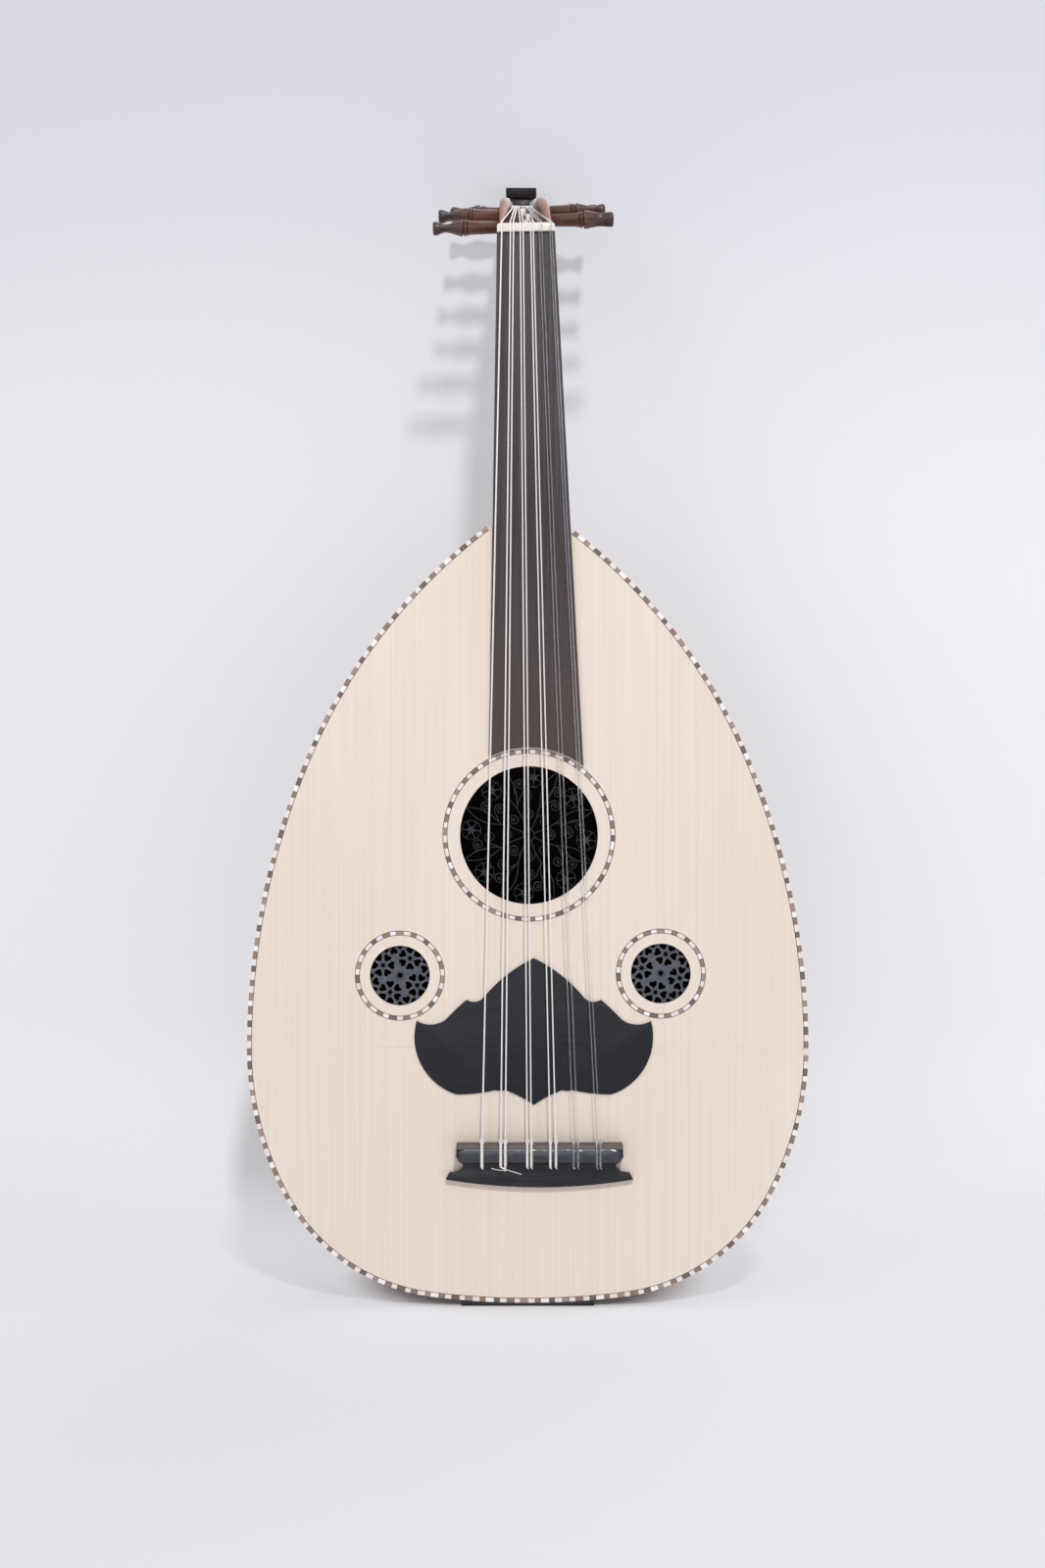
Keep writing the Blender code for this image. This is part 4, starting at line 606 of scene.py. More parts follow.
rosetteShape = {
    "front": 0.0021, "thickness": 0.002, "overlap": 3.4, "holes": {"main": 40.8, "left": 17.7, "right": 17.7}, "stroke": 0.46, "facets": 96,
    "main": {
        "hole": 40.8, "rim": 0.0, "sectors": 8, "turn": -5, "hub": 3.1,
        # The stem runs from the hub to a fork, from which two bowed lines make a leaf up to the rim.
        "stemAngle": 27, "stemBow": -0.5, "fork": (17.5, 29), "leafAngle": 26, "leafBows": (3.2, -2.8),
        # Scrolls: where each leaves its branch, its middle and its radius
        "scrolls": ((11.5, 26.5, 12.4, 5, 3.3), (18.5, 28, 23.0, 8, 3.4), (25.5, 24, 30.4, 15.5, 3.4)),
        "scrollTurns": 1.4, "scrollEnd": 0.34, "eye": 0.6,
        "flower": 34.3, "petals": 6, "petalReach": 4.2, "heart": 4.4, "core": 1.9,
    },
    "small": {
        "hole": 17.7, "cluster": 11.7, "outerCluster": 19.8, "heartReach": 5.35, "heart": 4.7, "star": (2.4, 1.0),
        "centreStar": (3.3, 1.2), "turns": {"left": 59.7, "right": 75},
    },
    # One half of a heart from its tip, for a heart 1 long, with the bulge of each stretch that follows
    "heartHalf": ((-0.60, 0.0, 0.14), (-0.03, 0.48, 1.0), (0.15, 0.0, 0.0)),
}


def polar(reach, degrees):
    return Vector((reach * math.cos(math.radians(degrees)), reach * math.sin(math.radians(degrees))))


def disc(centre, radius, sides, turn=0.0):
    return [centre + polar(radius, turn + 360 * i / sides) for i in range(sides)]


def star(centre, reaches, points, turn):
    return [centre + polar(reaches[i % 2], turn + 180 * i / points) for i in range(2 * points)]


# Points from one corner towards the next along an arc: a bulge is the tangent of a quarter of its angle.
def bulged(start, end, bulge, facet):
    dx, dz = end[0] - start[0], end[1] - start[1]
    steps = max(4, round(math.hypot(dx, dz) / facet))
    half = 2 * math.atan(bulge)
    points = []
    for i in range(steps):
        turn = half * (2 * i / steps - 1)
        along = 0.5 + 0.5 * math.sin(turn) / math.sin(half)
        across = 0.5 * (math.cos(turn) - math.cos(half)) / math.sin(half)
        points.append((start[0] + dx * along - dz * across, start[1] + dz * along + dx * across))
    return points


# A heart whose tip points at the middle of its flower or cluster.
def heart(centre, reach, size, degrees):
    corners = rosetteShape["heartHalf"]
    half = []
    for (x0, z0, bulge), (x1, z1, _) in zip(corners, corners[1:]):
        half += bulged((x0, z0), (x1, z1), bulge, 0.09)
    outline = half + [corners[-1][:2]] + [(x, -z) for x, z in reversed(half[1:])]
    forward, sideways = polar(1.0, degrees), polar(1.0, degrees + 90)
    return [centre + forward * (reach + x * size) + sideways * z * size for x, z in outline]


def ribbon(line, width):
    left, right = [], []
    for i, point in enumerate(line):
        ahead = (line[min(i + 1, len(line) - 1)] - line[max(i - 1, 0)]).normalized()
        side = Vector((-ahead.y, ahead.x)) * width / 2
        left.append(point + side)
        right.append(point - side)
    return left + right[::-1]


def bowedLine(start, end, bow, steps=10):
    across = (end - start).normalized()
    side = Vector((-across.y, across.x))
    return [start.lerp(end, i / steps) + side * bow * math.sin(math.pi * i / steps) for i in range(steps + 1)]


# A tangent from the branch to the scroll's circle, then clockwise and inwards to its eye.
def scrollLine(root, centre, radius, steps=30):
    shape = rosetteShape["main"]
    away = root - centre
    start = math.degrees(math.atan2(away.y, away.x) - math.acos(min(1.0, radius / away.length)))
    line = [root]
    for i in range(steps + 1):
        t = i / steps
        line.append(centre + polar(radius * (1 + (shape["scrollEnd"] - 1) * t), start - 360 * shape["scrollTurns"] * t))
    return line


def arabesque():
    shape, stroke = rosetteShape["main"], rosetteShape["stroke"]
    rim = shape["hole"] - shape["rim"]
    middle = Vector((0.0, 0.0))
    outlines = [(True, disc(middle, shape["hole"] + rosetteShape["overlap"], rosetteShape["facets"])),
                (False, disc(middle, rim, rosetteShape["facets"])), (True, disc(middle, shape["hub"] + stroke, 24))]
    turns = [shape["turn"] + 360 * k / shape["sectors"] for k in range(shape["sectors"])]
    for turn in turns:
        fork = polar(shape["fork"][0], turn + shape["fork"][1])
        foot = polar(shape["hub"], turn + shape["stemAngle"])
        tip = polar(rim + stroke, turn + shape["leafAngle"])
        lines = [bowedLine(foot, fork, shape["stemBow"])]
        lines += [bowedLine(fork, tip, bow) for bow in shape["leafBows"]]
        for rootReach, rootAngle, reach, angle, radius in shape["scrolls"]:
            centre = polar(reach, turn + angle)
            lines.append(scrollLine(polar(rootReach, turn + rootAngle), centre, radius))
            outlines.append((True, disc(centre, shape["eye"], 12)))
        outlines += [(True, ribbon(line, stroke)) for line in lines]
    for turn in turns:
        flower = polar(shape["flower"], turn)
        petals = [turn + 30 + 360 * i / shape["petals"] for i in range(shape["petals"])]
        outlines += [(True, heart(flower, shape["petalReach"], shape["heart"] + 2.2 * stroke, a)) for a in petals]
        outlines.append((True, disc(flower, shape["core"], 12)))
        outlines += [(False, heart(flower, shape["petalReach"], shape["heart"], a)) for a in petals]
    outlines.append((False, disc(middle, shape["hub"], 24)))
    return outlines


def lattice(turn):
    shape = rosetteShape["small"]
    middle = Vector((0.0, 0.0))
    outlines = [(True, disc(middle, shape["hole"] + rosetteShape["overlap"], rosetteShape["facets"]))]
    for angle in (turn + 90 * k for k in range(4)):
        cluster, outer = polar(shape["cluster"], angle), polar(shape["outerCluster"], angle + 45)
        outlines.append((False, star(cluster, shape["star"], 6, angle)))
        outlines += [(False, heart(cluster, shape["heartReach"], shape["heart"], angle + 30 + 60 * i)) for i in range(6)]
        # Of an outer cluster only the three hearts towards the middle lie within the hole.
        outlines += [(False, heart(outer, shape["heartReach"], shape["heart"], angle + 45 + 60 * i)) for i in (2, 3, 4)]
    outlines.append((False, star(middle, shape["centreStar"], 8, turn)))
    return outlines


# No mesh operator joins outlines that overlap, so all are triangulated together, and each triangle is wood or
# opening as the last outline round it says.
def cutSheet(centre, outlines, front, thickness):
    points, loops = [], []
    for _, outline in outlines:
        turned = sum(a.cross(b) for a, b in zip(outline, outline[1:] + outline[:1])) > 0
        loops.append(list(range(len(points), len(points) + len(outline))))
        points += outline if turned else outline[::-1]
    found, _, triangles, _, _, owners = delaunay_2d_cdt(points, [], loops, 1, 1e-4, True)
    builder = bmesh.new()
    corners = [builder.verts.new(bodyPoint(centre[0] + p.x / 1000, front, centre[1] + p.y / 1000)) for p in found]
    for triangle, owner in zip(triangles, owners):
        if owner and outlines[max(owner)][0]:
            builder.faces.new([corners[i] for i in triangle])
    loose = [vert for vert in builder.verts if not vert.link_faces]
    bmesh.ops.delete(builder, geom=loose, context="VERTS")
    bmesh.ops.dissolve_limit(builder, angle_limit=math.radians(0.5), verts=builder.verts, edges=builder.edges)
    bmesh.ops.triangulate(builder, faces=builder.faces)
    grown = bmesh.ops.extrude_face_region(builder, geom=builder.faces[:], use_keep_orig=True)["geom"]
    moved = [item for item in grown if isinstance(item, bmesh.types.BMVert)]
    bmesh.ops.translate(builder, verts=moved, vec=(0.0, thickness, 0.0))
    bmesh.ops.recalc_face_normals(builder, faces=builder.faces)
    return builder


def piercedPlate(node, centre, outlines, material):
    builder = cutSheet(centre, outlines, rosetteShape["front"], rosetteShape["thickness"])
    piece = newPiece(f"{node}_cut", builder, [material], "instrument")
    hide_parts(node)


piercedPlate("main_rosette", soundHoles["main"]["centre"], arabesque(), fibreBlack)
for label, turn in rosetteShape["small"]["turns"].items():
    piercedPlate(f"{label}_rosette", soundHoles[label]["centre"], lattice(turn), fibrePaintedSheen)
print("rosettes cut")


# Soundboard: a front layer with the rings' grooves and the edge's seat cut out of it, on a back layer. The inlays
# reach a little over the cuts' sides, so no gap shows beside them.

boardShape = {"thickness": 0.0018, "seat": 0.0012, "lap": 0.0001, "step": 0.003, "facets": 144}


def makeSoundboard():
    middle = Vector((0.0, 0.0))
    lap = tileRow["closing"] - boardShape["lap"]
    seat = boardShape["seat"]
    whole = [p * 1000 for p in wholeOutline(boardShape["step"])]
    drawnIn = [p * 1000 for p in wholeOutline(boardShape["step"], 0.0034 + lap)]
    front, back = [(True, drawnIn)], [(True, whole)]
    for label, ring in soundHoles.items():
        centre = Vector(ring["centre"]) * 1000
        half = ring["width"] / 2 + lap
        hole = (False, disc(centre, rosetteShape["holes"][label], boardShape["facets"]))
        front += [(False, disc(centre, (ring["radius"] + half) * 1000, boardShape["facets"])),
                  (True, disc(centre, (ring["radius"] - half) * 1000, boardShape["facets"])), hole]
        back.append(hole)
    builder = cutSheet(middle, front, 0.0, seat)
    layer = cutSheet(middle, back, seat, boardShape["thickness"] - seat)
    mesh = bpy.data.meshes.new("layer")
    layer.to_mesh(mesh)
    layer.free()
    builder.from_mesh(mesh)
    bpy.data.meshes.remove(mesh)
    piece = newPiece("soundboard_cut", builder, [spruceTop], "instrument", smooth=30)
    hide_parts("soundboard")


makeSoundboard()
print("soundboard cut")


# Pegs: turned on a lathe, then the head is shaved flat for the fingers.

pegShape = {
    "sides": 44, "tip": 0.0030, "middle": 0.00335, "shaft": 0.0036, "collar": 0.0041, "flush": 0.0004,
    # Millimetres from the end of the knob, then the thick and the wide radius there: knob, waist, flare, two beads.
    "head": (
        (0.0, 3.0, 3.4), (0.25, 3.6, 4.0), (0.9, 4.0, 4.4), (1.9, 4.1, 4.5), (3.6, 3.6, 4.4), (5.6, 2.7, 4.15),
        (7.6, 2.35, 4.05), (9.8, 2.65, 4.2), (12.5, 3.5, 4.6), (15.0, 4.3, 5.1), (17.2, 4.9, 5.5), (17.8, 4.8, 5.2),
        (18.2, 4.0, 4.0), (18.5, 3.9, 3.9), (18.9, 4.6, 4.6), (19.6, 4.95, 4.95), (20.2, 4.6, 4.6), (20.5, 3.9, 3.9),
        (20.8, 4.3, 4.3), (21.3, 4.65, 4.65), (21.8, 4.3, 4.3), (22.1, 4.05, 4.05),
    ),
    # How far each flat head is turned, in degrees, from the nut outwards.
    "turns": (90, 5, 78, 72, 60, 20, 45, 75, 30, 55, 85),
}


# A smooth line through knots, with points about a spacing apart.
def smoothKnots(knots, spacing):
    line = []
    last = len(knots) - 1
    for i in range(last):
        before, start, end, after = (Vector(knots[min(max(i + d, 0), last)]) for d in (-1, 0, 1, 2))
        steps = max(1, math.ceil(abs(end[0] - start[0]) / spacing))
        into = (end - before) * 0.5 * (end[0] - start[0]) / (end[0] - before[0] or 1)
        outOf = (after - start) * 0.5 * (end[0] - start[0]) / (after[0] - start[0] or 1)
        for k in range(steps):
            t = k / steps
            line.append(start * (2 * t ** 3 - 3 * t ** 2 + 1) + end * (3 * t ** 2 - 2 * t ** 3)
                        + into * 2 * (t ** 3 - 2 * t ** 2 + t) + outOf * 2 * (t ** 3 - t ** 2))
    return line + [Vector(knots[-1])]


# The way from an outer profile to the row frame: along the peg, across its flat head, and through it.
def makePeg(joint, degrees):
    node = joint["child"]
    centre, axis = Vector(joint["pos_m"]), Vector(joint["axis"])
    low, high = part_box(node)
    side = -1 if centre.x - low.x > high.x - centre.x else 1
    end = max(centre.x - low.x, high.x - centre.x)
    cheek = min(centre.x - low.x, high.x - centre.x) + pegShape["flush"]
    stations = [(end - p[0] / 1000, p[1] / 1000, p[2] / 1000) for p in smoothKnots(pegShape["head"], 0.35)]
    for along, radius in ((cheek + 0.0004, pegShape["shaft"]), (cheek, pegShape["middle"]), (0.0, pegShape["middle"]),
                          (0.0010 - cheek, pegShape["tip"]), (0.0005 - cheek, pegShape["tip"] - 0.0002),
                          (pegShape["flush"] - cheek, pegShape["tip"] - 0.0009)):
        stations.append((along, radius, radius))
    builder = bmesh.new()
    profile = [builder.verts.new((stations[0][0], 0.0, 0.0))]
    profile += [builder.verts.new((along, thick, 0.0)) for along, thick, _ in stations]
    profile.append(builder.verts.new((stations[-1][0], 0.0, 0.0)))
    edges = [builder.edges.new(pair) for pair in zip(profile, profile[1:])]
    bmesh.ops.spin(builder, geom=profile + edges, cent=(0, 0, 0), axis=(1, 0, 0), dvec=(0, 0, 0),
                   angle=2 * math.pi, steps=pegShape["sides"], use_merge=True, use_duplicate=False)
    bmesh.ops.remove_doubles(builder, verts=builder.verts, dist=0.000005)
    flatness = {round(along, 7): wide / thick for along, thick, wide in stations}
    for vert in builder.verts:
        vert.co.z *= flatness[round(vert.co.x, 7)]
    up = Vector((-axis.z, 0.0, axis.x))
    place = Matrix((axis * side, (0, 1, 0), up)).transposed().to_4x4()
    place.translation = centre
    bmesh.ops.transform(builder, verts=builder.verts, matrix=place @ Matrix.Rotation(math.radians(degrees), 4, "X"))
    bmesh.ops.recalc_face_normals(builder, faces=builder.faces)
    piece = newPiece(f"{node}_turned", builder, [rosewoodTurned], node, smooth=50)
    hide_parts(node)


for joint, degrees in zip(frame["joints"], pegShape["turns"]):
    makePeg(joint, degrees)
print("pegs turned")


# Finial: a block with a cove under it, standing on the plug that closes the pegbox

finialShape = {
    # Millimetres above the seat, then half width, near face and far face
    "levels": (
        (-16.0, 5.7, 0.0, 6.6), (0.0, 5.7, 0.0, 9.0), (0.6, 5.9, 0.5, 9.4), (1.4, 6.6, 1.3, 10.0), (2.2, 7.6, 1.8, 10.6),
        (2.8, 8.5, 1.9, 11.2), (3.2, 9.3, 1.6, 11.8), (3.5, 9.75, 0.6, 12.0), (9.8, 9.75, 0.2, 12.5),
    ),
    "lean": 16.0, "edge": 0.0004,
}


def makeFinial():
    low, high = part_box("finial")
    lean = math.radians(finialShape["lean"])
    along = Vector((0.0, math.cos(lean), math.sin(lean)))
    above = Vector((0.0, -math.sin(lean), math.cos(lean)))
    middle = (low.x + high.x) / 2
    # The far top corner of the block is the solid's highest point.
    topLevel = finialShape["levels"][-1]
    zero = Vector((middle, high.y, high.z))
    zero -= along * topLevel[3] / 1000 + above * topLevel[0] / 1000
    zero.y = high.y - max((along.y * far + above.y * height) / 1000 for height, _, _, far in finialShape["levels"])
    builder = bmesh.new()
    loops = []
    for height, half, near, far in finialShape["levels"]:
        corners = ((-half, near), (half, near), (half, far), (-half, far))
        loops.append([zero + Vector((x / 1000, 0, 0)) + along * u / 1000 + above * height / 1000 for x, u in corners])
    skin(builder, loops)
    bmesh.ops.recalc_face_normals(builder, faces=builder.faces)
    easeEdges(builder, finialShape["edge"], 2, 50)
    piece = newPiece("finial_carved", builder, [ebonyCarved], "instrument", smooth=40)
    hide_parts("finial")


makeFinial()


# Bridge: the solid's own shape, with its front shelf left dusty brown

bridgeShape = {
    "edge": 0.0005, "shelf": 0.0945, "top": -0.0215, "foot": -0.0185,
    # The bar over which the strings are tied: from side to side, from back to front, its height over the block,
    # and how lumpy the knife left it
    "bar": {"left": -0.0424, "right": 0.0562, "back": 0.0866, "front": 0.0947, "block": -0.0230, "rise": 0.0005,
            "sunk": 0.0010, "squareness": 2.7, "lumps": 0.00014, "stations": 90, "sides": 20},
}


def makeBridge():
    piece = easedCopy("bridge", ebonyBlue, bridgeShape["edge"])
    piece.data.materials.append(ebonyDusty)
    piece.data.materials.append(ebonyRim)
    builder = bmesh.new()
    builder.from_mesh(piece.data)
    bmesh.ops.bisect_plane(builder, geom=builder.verts[:] + builder.edges[:] + builder.faces[:], dist=0.00001,
                           plane_co=(0.0, 0.0, bridgeShape["shelf"]), plane_no=(0.0, 0.0, 1.0))
    for face in builder.faces:
        middle = face.calc_center_median()
        if middle.z > bridgeShape["shelf"] and middle.y < bridgeShape["top"] and face.normal.y < -0.5:
            face.material_index = 1
        elif face.normal.z < -0.15 and middle.y > bridgeShape["foot"]:
            face.material_index = 2
    builder.to_mesh(piece.data)
    builder.free()


def makeTieBar():
    bar = bridgeShape["bar"]
    half = (bar["front"] - bar["back"]) / 2
    middle = (bar["front"] + bar["back"]) / 2
    loops = []
    for i in range(bar["stations"] + 1):
        t = i / bar["stations"]
        x = bar["left"] + (bar["right"] - bar["left"]) * t
        # The ends are rounded off within the last few stations.
        full = min(1.0, math.sqrt(min(t, 1 - t) * 25 + 0.02))
        loop = []
        for j in range(bar["sides"] + 1):
            turn = math.pi * j / bar["sides"]
            # A bar squarer than an ellipse, so that it turns over close to its edges.
            across = math.copysign(abs(math.cos(turn)) ** (2 / bar["squareness"]), math.cos(turn))
            place = Vector((x, math.sin(turn) ** (2 / bar["squareness"]), across))
            lump = bar["lumps"] * noise.noise(Vector((x * 300, turn * 1.5, 0.0)))
            height = (bar["rise"] + bar["sunk"]) * place.y * full + lump
            loop.append(Vector((x, bar["block"] + bar["sunk"] - height, middle + half * place.z * full)))
        loops.append(loop)
    builder = bmesh.new()
    skin(builder, loops)
    bmesh.ops.recalc_face_normals(builder, faces=builder.faces)
    piece = newPiece("tie_bar", builder, [ebonyGlossy], "instrument", smooth=50)


makeTieBar()
makeBridge()


# Pickguard: one half of its outline from the top tip clockwise, with the bulge of each stretch that follows

pickguardShape = {
    "x": 0.0036, "thickness": 0.0008, "lift": 0.0003, "facet": 0.0012, "edge": 0.0002,
    "half": (
        (0.0000, 0.2040, -0.11), (0.0300, 0.1803, 0.36), (0.0397, 0.1794, -0.03), (0.0519, 0.1678, 0.31),
        (0.0693, 0.1669, -0.40), (0.0458, 0.1234, -0.06), (0.0232, 0.1259, -0.10), (0.0165, 0.1259, 0.06),
        (0.0000, 0.1172, 0.00),
    ),
}


def makePickguard():
    corners = pickguardShape["half"]
    right = []
    for (x0, z0, bulge), (x1, z1, _) in zip(corners, corners[1:]):
        right += bulged((x0, z0), (x1, z1), -bulge, pickguardShape["facet"])
    right.append(corners[-1][:2])
    outline = right + [(-x, z) for x, z in reversed(right[1:-1])]
    builder = bmesh.new()
    back = builder.faces.new([builder.verts.new(bodyPoint(x + pickguardShape["x"], -pickguardShape["lift"], z))
                              for x, z in outline])
    grown = bmesh.ops.extrude_face_region(builder, geom=[back], use_keep_orig=True)["geom"]
    raised = [item for item in grown if isinstance(item, bmesh.types.BMVert)]
    bmesh.ops.translate(builder, verts=raised, vec=(0.0, -pickguardShape["thickness"], 0.0))
    bmesh.ops.recalc_face_normals(builder, faces=builder.faces)
    easeEdges(builder, pickguardShape["edge"], 2, 60)
    piece = newPiece("pickguard_plate", builder, [ebonyPlate], "instrument", smooth=30)
    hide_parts("pickguard")


makePickguard()
print("bridge and pickguard glued")


# Strings: each follows the middle of its own solid, is tied at the bridge and wound on its peg

stringShape = {
    "corner": 0.0015, "float": 0.00028, "windings": 3.3, "pitch": 1.04, "pointsPerTurn": 24, "sides": 4,
    "clear": ("string_2a", "string_2b", "string_1a", "string_1b"),
}
tieShape = {
    "top": -0.0235, "front": 0.0980, "back": 0.0846, "rear": 0.0853, "twists": 4.0, "points": 72,
    # Over the block's edges the twisted strands sink.
    "edges": (0.0969, 0.0857), "sink": 0.0011, "spread": 1.0,
    # Loose ends that were never cut off: millimetres from the string's own place
    "tails": {"string_5a": ((2.0, 0.6, -1.4), (6.0, 2.6, -3.0), (12.2, 4.4, -5.2)),
              "string_5b": ((0.4, 1.0, -2.6), (-4.0, 2.6, -2.4), (-8.2, 3.6, -1.6))},
    "stub": ((0.2, 0.9, -0.9), (0.5, 1.6, -1.4)),
    # Past the last knot the winding is stripped off the core.
    "tailShare": 0.5, "tailPoints": 8,
}


# Middle points of a string's solid, from the bridge to the peg. One step along the edges of its tube leads
# from one ring of corners to the next, and the farthest corners from any start are an end.
def routeOf(node):
    builder = bmesh.new()
    builder.from_mesh(frame["nodes"][node].data)
    bmesh.ops.remove_doubles(builder, verts=builder.verts, dist=0.00001)
    builder.verts.ensure_lookup_table()

    def ringsFrom(seeds):
        seen, rings = set(seeds), [list(seeds)]
        while rings[-1]:
            rings.append([])
            for vert in rings[-2]:
                for edge in vert.link_edges:
                    other = edge.other_vert(vert)
                    if other not in seen:
                        seen.add(other)
                        rings[-1].append(other)
        return rings[:-1]

    rings = ringsFrom(ringsFrom([builder.verts[0]])[-1])
    points = [sum((vert.co for vert in ring), Vector()) / len(ring) for ring in rings]
    radius = min((ring[0].co - point).length for ring, point in zip(rings, points))
    builder.free()
    return (points if points[0].z < points[-1].z else points[::-1]), radius


# Cuts each corner with a short curve.
def roundCorners(points, reach, steps=5):
    result = [points[0]]
    for before, corner, after in zip(points, points[1:], points[2:]):
        back, ahead = before - corner, after - corner
        start = corner + back.normalized() * min(reach, back.length / 2)
        end = corner + ahead.normalized() * min(reach, ahead.length / 2)
        for i in range(steps + 1):
            t = i / steps
            point = start.lerp(corner, t).lerp(corner.lerp(end, t), t)
            if (point - result[-1]).length > 0.00002:
                result.append(point)
    return result + [points[-1]]


# From the loose end forward over the tie block, round the string in front, back twisted with itself,
# down behind the block and through its hole.
def tiePoints(node, route, radius):
    x, hole = route[0].x, route[6].y
    level = tieShape["top"] - 2.05 * radius
    count = tieShape["points"]

    def strand(t, half):
        turn = 2 * math.pi * tieShape["twists"] * t + half
        z = tieShape["front"] + (tieShape["back"] - tieShape["front"]) * t
        over = max(0.0, z - tieShape["edges"][0], tieShape["edges"][1] - z) / 0.0019
        spread = radius * tieShape["spread"]
        return Vector((x + spread * math.cos(turn), level + spread * math.sin(turn) + tieShape["sink"] * over ** 2, z))

    away, near = [strand(i / count, 0.0) for i in range(count + 1)], [strand(i / count, math.pi) for i in range(count + 1)]
    tail = [Vector((x + dx / 1000, level + dy / 1000, tieShape["back"] + dz / 1000))
            for dx, dy, dz in reversed(tieShape["tails"].get(node, tieShape["stub"]))]
    z = tieShape["front"]
    loop = [Vector((x + s * radius, y, z + dz)) for s, y, dz in (
        (-1.7, hole - 0.0022, 0.0009), (-1.9, hole - 0.0006, 0.0015), (0.0, hole + 2.1 * radius, 0.0018),
        (1.9, hole - 0.0006, 0.0015), (1.7, hole - 0.0022, 0.0009))]
    behind = [Vector((x, tieShape["top"] - 0.2 * radius, tieShape["rear"] - 1.0 * radius)),
              Vector((x, hole - 0.0016, tieShape["rear"] - 2.4 * radius)),
              Vector((x, hole, tieShape["rear"] - 1.0 * radius)), Vector((x, hole, tieShape["rear"] + 0.002))]
    rounded = roundCorners(tail + [near[-1], near[-2]], 0.001)
    return (rounded[:-2] + near[::-1] + roundCorners([near[0]] + loop + [away[0]], 0.001)[1:-1]
            + away + roundCorners([away[-1]] + behind + [route[6]], 0.001)[1:])


# From the last bend straight on to the peg, round it and into it.
def windingPoints(route, radius):
    wound = route[-16:]
    middle = sum(wound, Vector()) / len(wound)
    joint = min(frame["joints"], key=lambda j: (Vector(j["pos_m"]) - middle).yz.length)
    centre, axis = Vector(joint["pos_m"]), Vector(joint["axis"])
    up = Vector((-axis.z, 0.0, axis.x))
    reach = pegShape["middle"] + radius + 0.00002
    start = route[-17] - centre
    bend = Vector((start.y, start.dot(up)))
    lean = math.atan2(-bend.y, -bend.x) + math.asin(reach / bend.length)
    lane = (wound[0] - centre).dot(axis)
    inward = math.copysign(2 * radius * stringShape["pitch"], (wound[-1] - wound[0]).dot(axis))
    count = round(stringShape["windings"] * stringShape["pointsPerTurn"])
    points = []
    for i in range(count + 1):
        turns = i / stringShape["pointsPerTurn"]
        turn = lean + math.pi / 2 - 2 * math.pi * turns
        points.append(centre + axis * (lane + inward * turns)
                      + (Vector((0, 1, 0)) * math.cos(turn) + up * math.sin(turn)) * reach)
    points.append(centre + axis * (lane + inward * (turns + 0.1)) + (points[-1] - points[-2]).normalized() * 0.001
                  + (Vector((0, 1, 0)) * math.cos(turn) + up * math.sin(turn)) * (reach - 0.0016))
    return points


def makeString(node):
    route, radius = routeOf(node)
    nut = route[7:10]
    down = stringShape["float"]
    nut = [nut[0] + Vector((0, down, 0)), nut[1] + Vector((0, down, 0)), nut[2] + Vector((0, 0, -down))]
    windings = windingPoints(route, radius)
    tie = tiePoints(node, route, radius)
    bends = roundCorners([tie[-1]] + nut + route[10:-16] + [windings[0]], stringShape["corner"])
    points = tie + bends[1:-1] + windings
    curve = bpy.data.curves.new(node, "CURVE")
    curve.dimensions = "3D"
    curve.bevel_depth = radius
    curve.bevel_resolution = stringShape["sides"]
    curve.use_fill_caps = True
    spline = curve.splines.new("POLY")
    spline.points.add(len(points) - 1)
    for index, (target, point) in enumerate(zip(spline.points, points)):
        target.co = (*point, 1.0)
        target.radius = tieShape["tailShare"] if node in tieShape["tails"] and index < tieShape["tailPoints"] else 1.0
    drawn = bpy.data.objects.new(f"{node}_drawn", curve)
    mesh = bpy.data.meshes.new_from_object(drawn)
    bpy.data.objects.remove(drawn)
    builder = bmesh.new()
    builder.from_mesh(mesh)
    bmesh.ops.remove_doubles(builder, verts=builder.verts, dist=0.000001)
    isClear = node in stringShape["clear"]
    piece = newPiece(f"{node}_wire", builder, [clearNylon if isClear else silverWinding], "instrument", smooth=60)
    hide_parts(node)


for node in frame["nodes"]:
    if node.startswith("string_"):
        makeString(node)
print("strings tied and wound")


# Floor, backdrop, light and camera

stage = {
    # The high paint and the left shade are painted shade: backdrop and floor are laid darker high up and to the left.
    "floor": 8.0, "paint": "#F6F6FA", "paintShadedTop": "#DCDCE4", "leftShade": 0.93, "farPaint": "#EEEEF3",
    "nearReach": 0.6, "farReach": 1.8, "world": "#EEEEF3", "worldLight": 0.23,
    # A share of the paint's own colour is laid on plain, so that shadows on it stay as pale as in a bright studio.
    "plainWall": 0.27, "plainFoot": 0.5, "plainFloor": 0.62,
    # Under the belly, round a point on the floor, the shadow is left deep.
    "core": (0.0, 0.07, 0.0), "coreReach": (0.085, 0.12), "coreShare": 0.05,
    # The share of the floor's own glow that also lights the instrument from below
    "bounce": 1.0,
    # The wall leans as it stands to an instrument that rests against it with the end of its pegbox.
    "wallY": 0.1185, "wallZ": 0.69, "wallLean": 5.0, "wallBend": 0.14, "wallWidth": 0.75, "wallTop": 1.3,
}


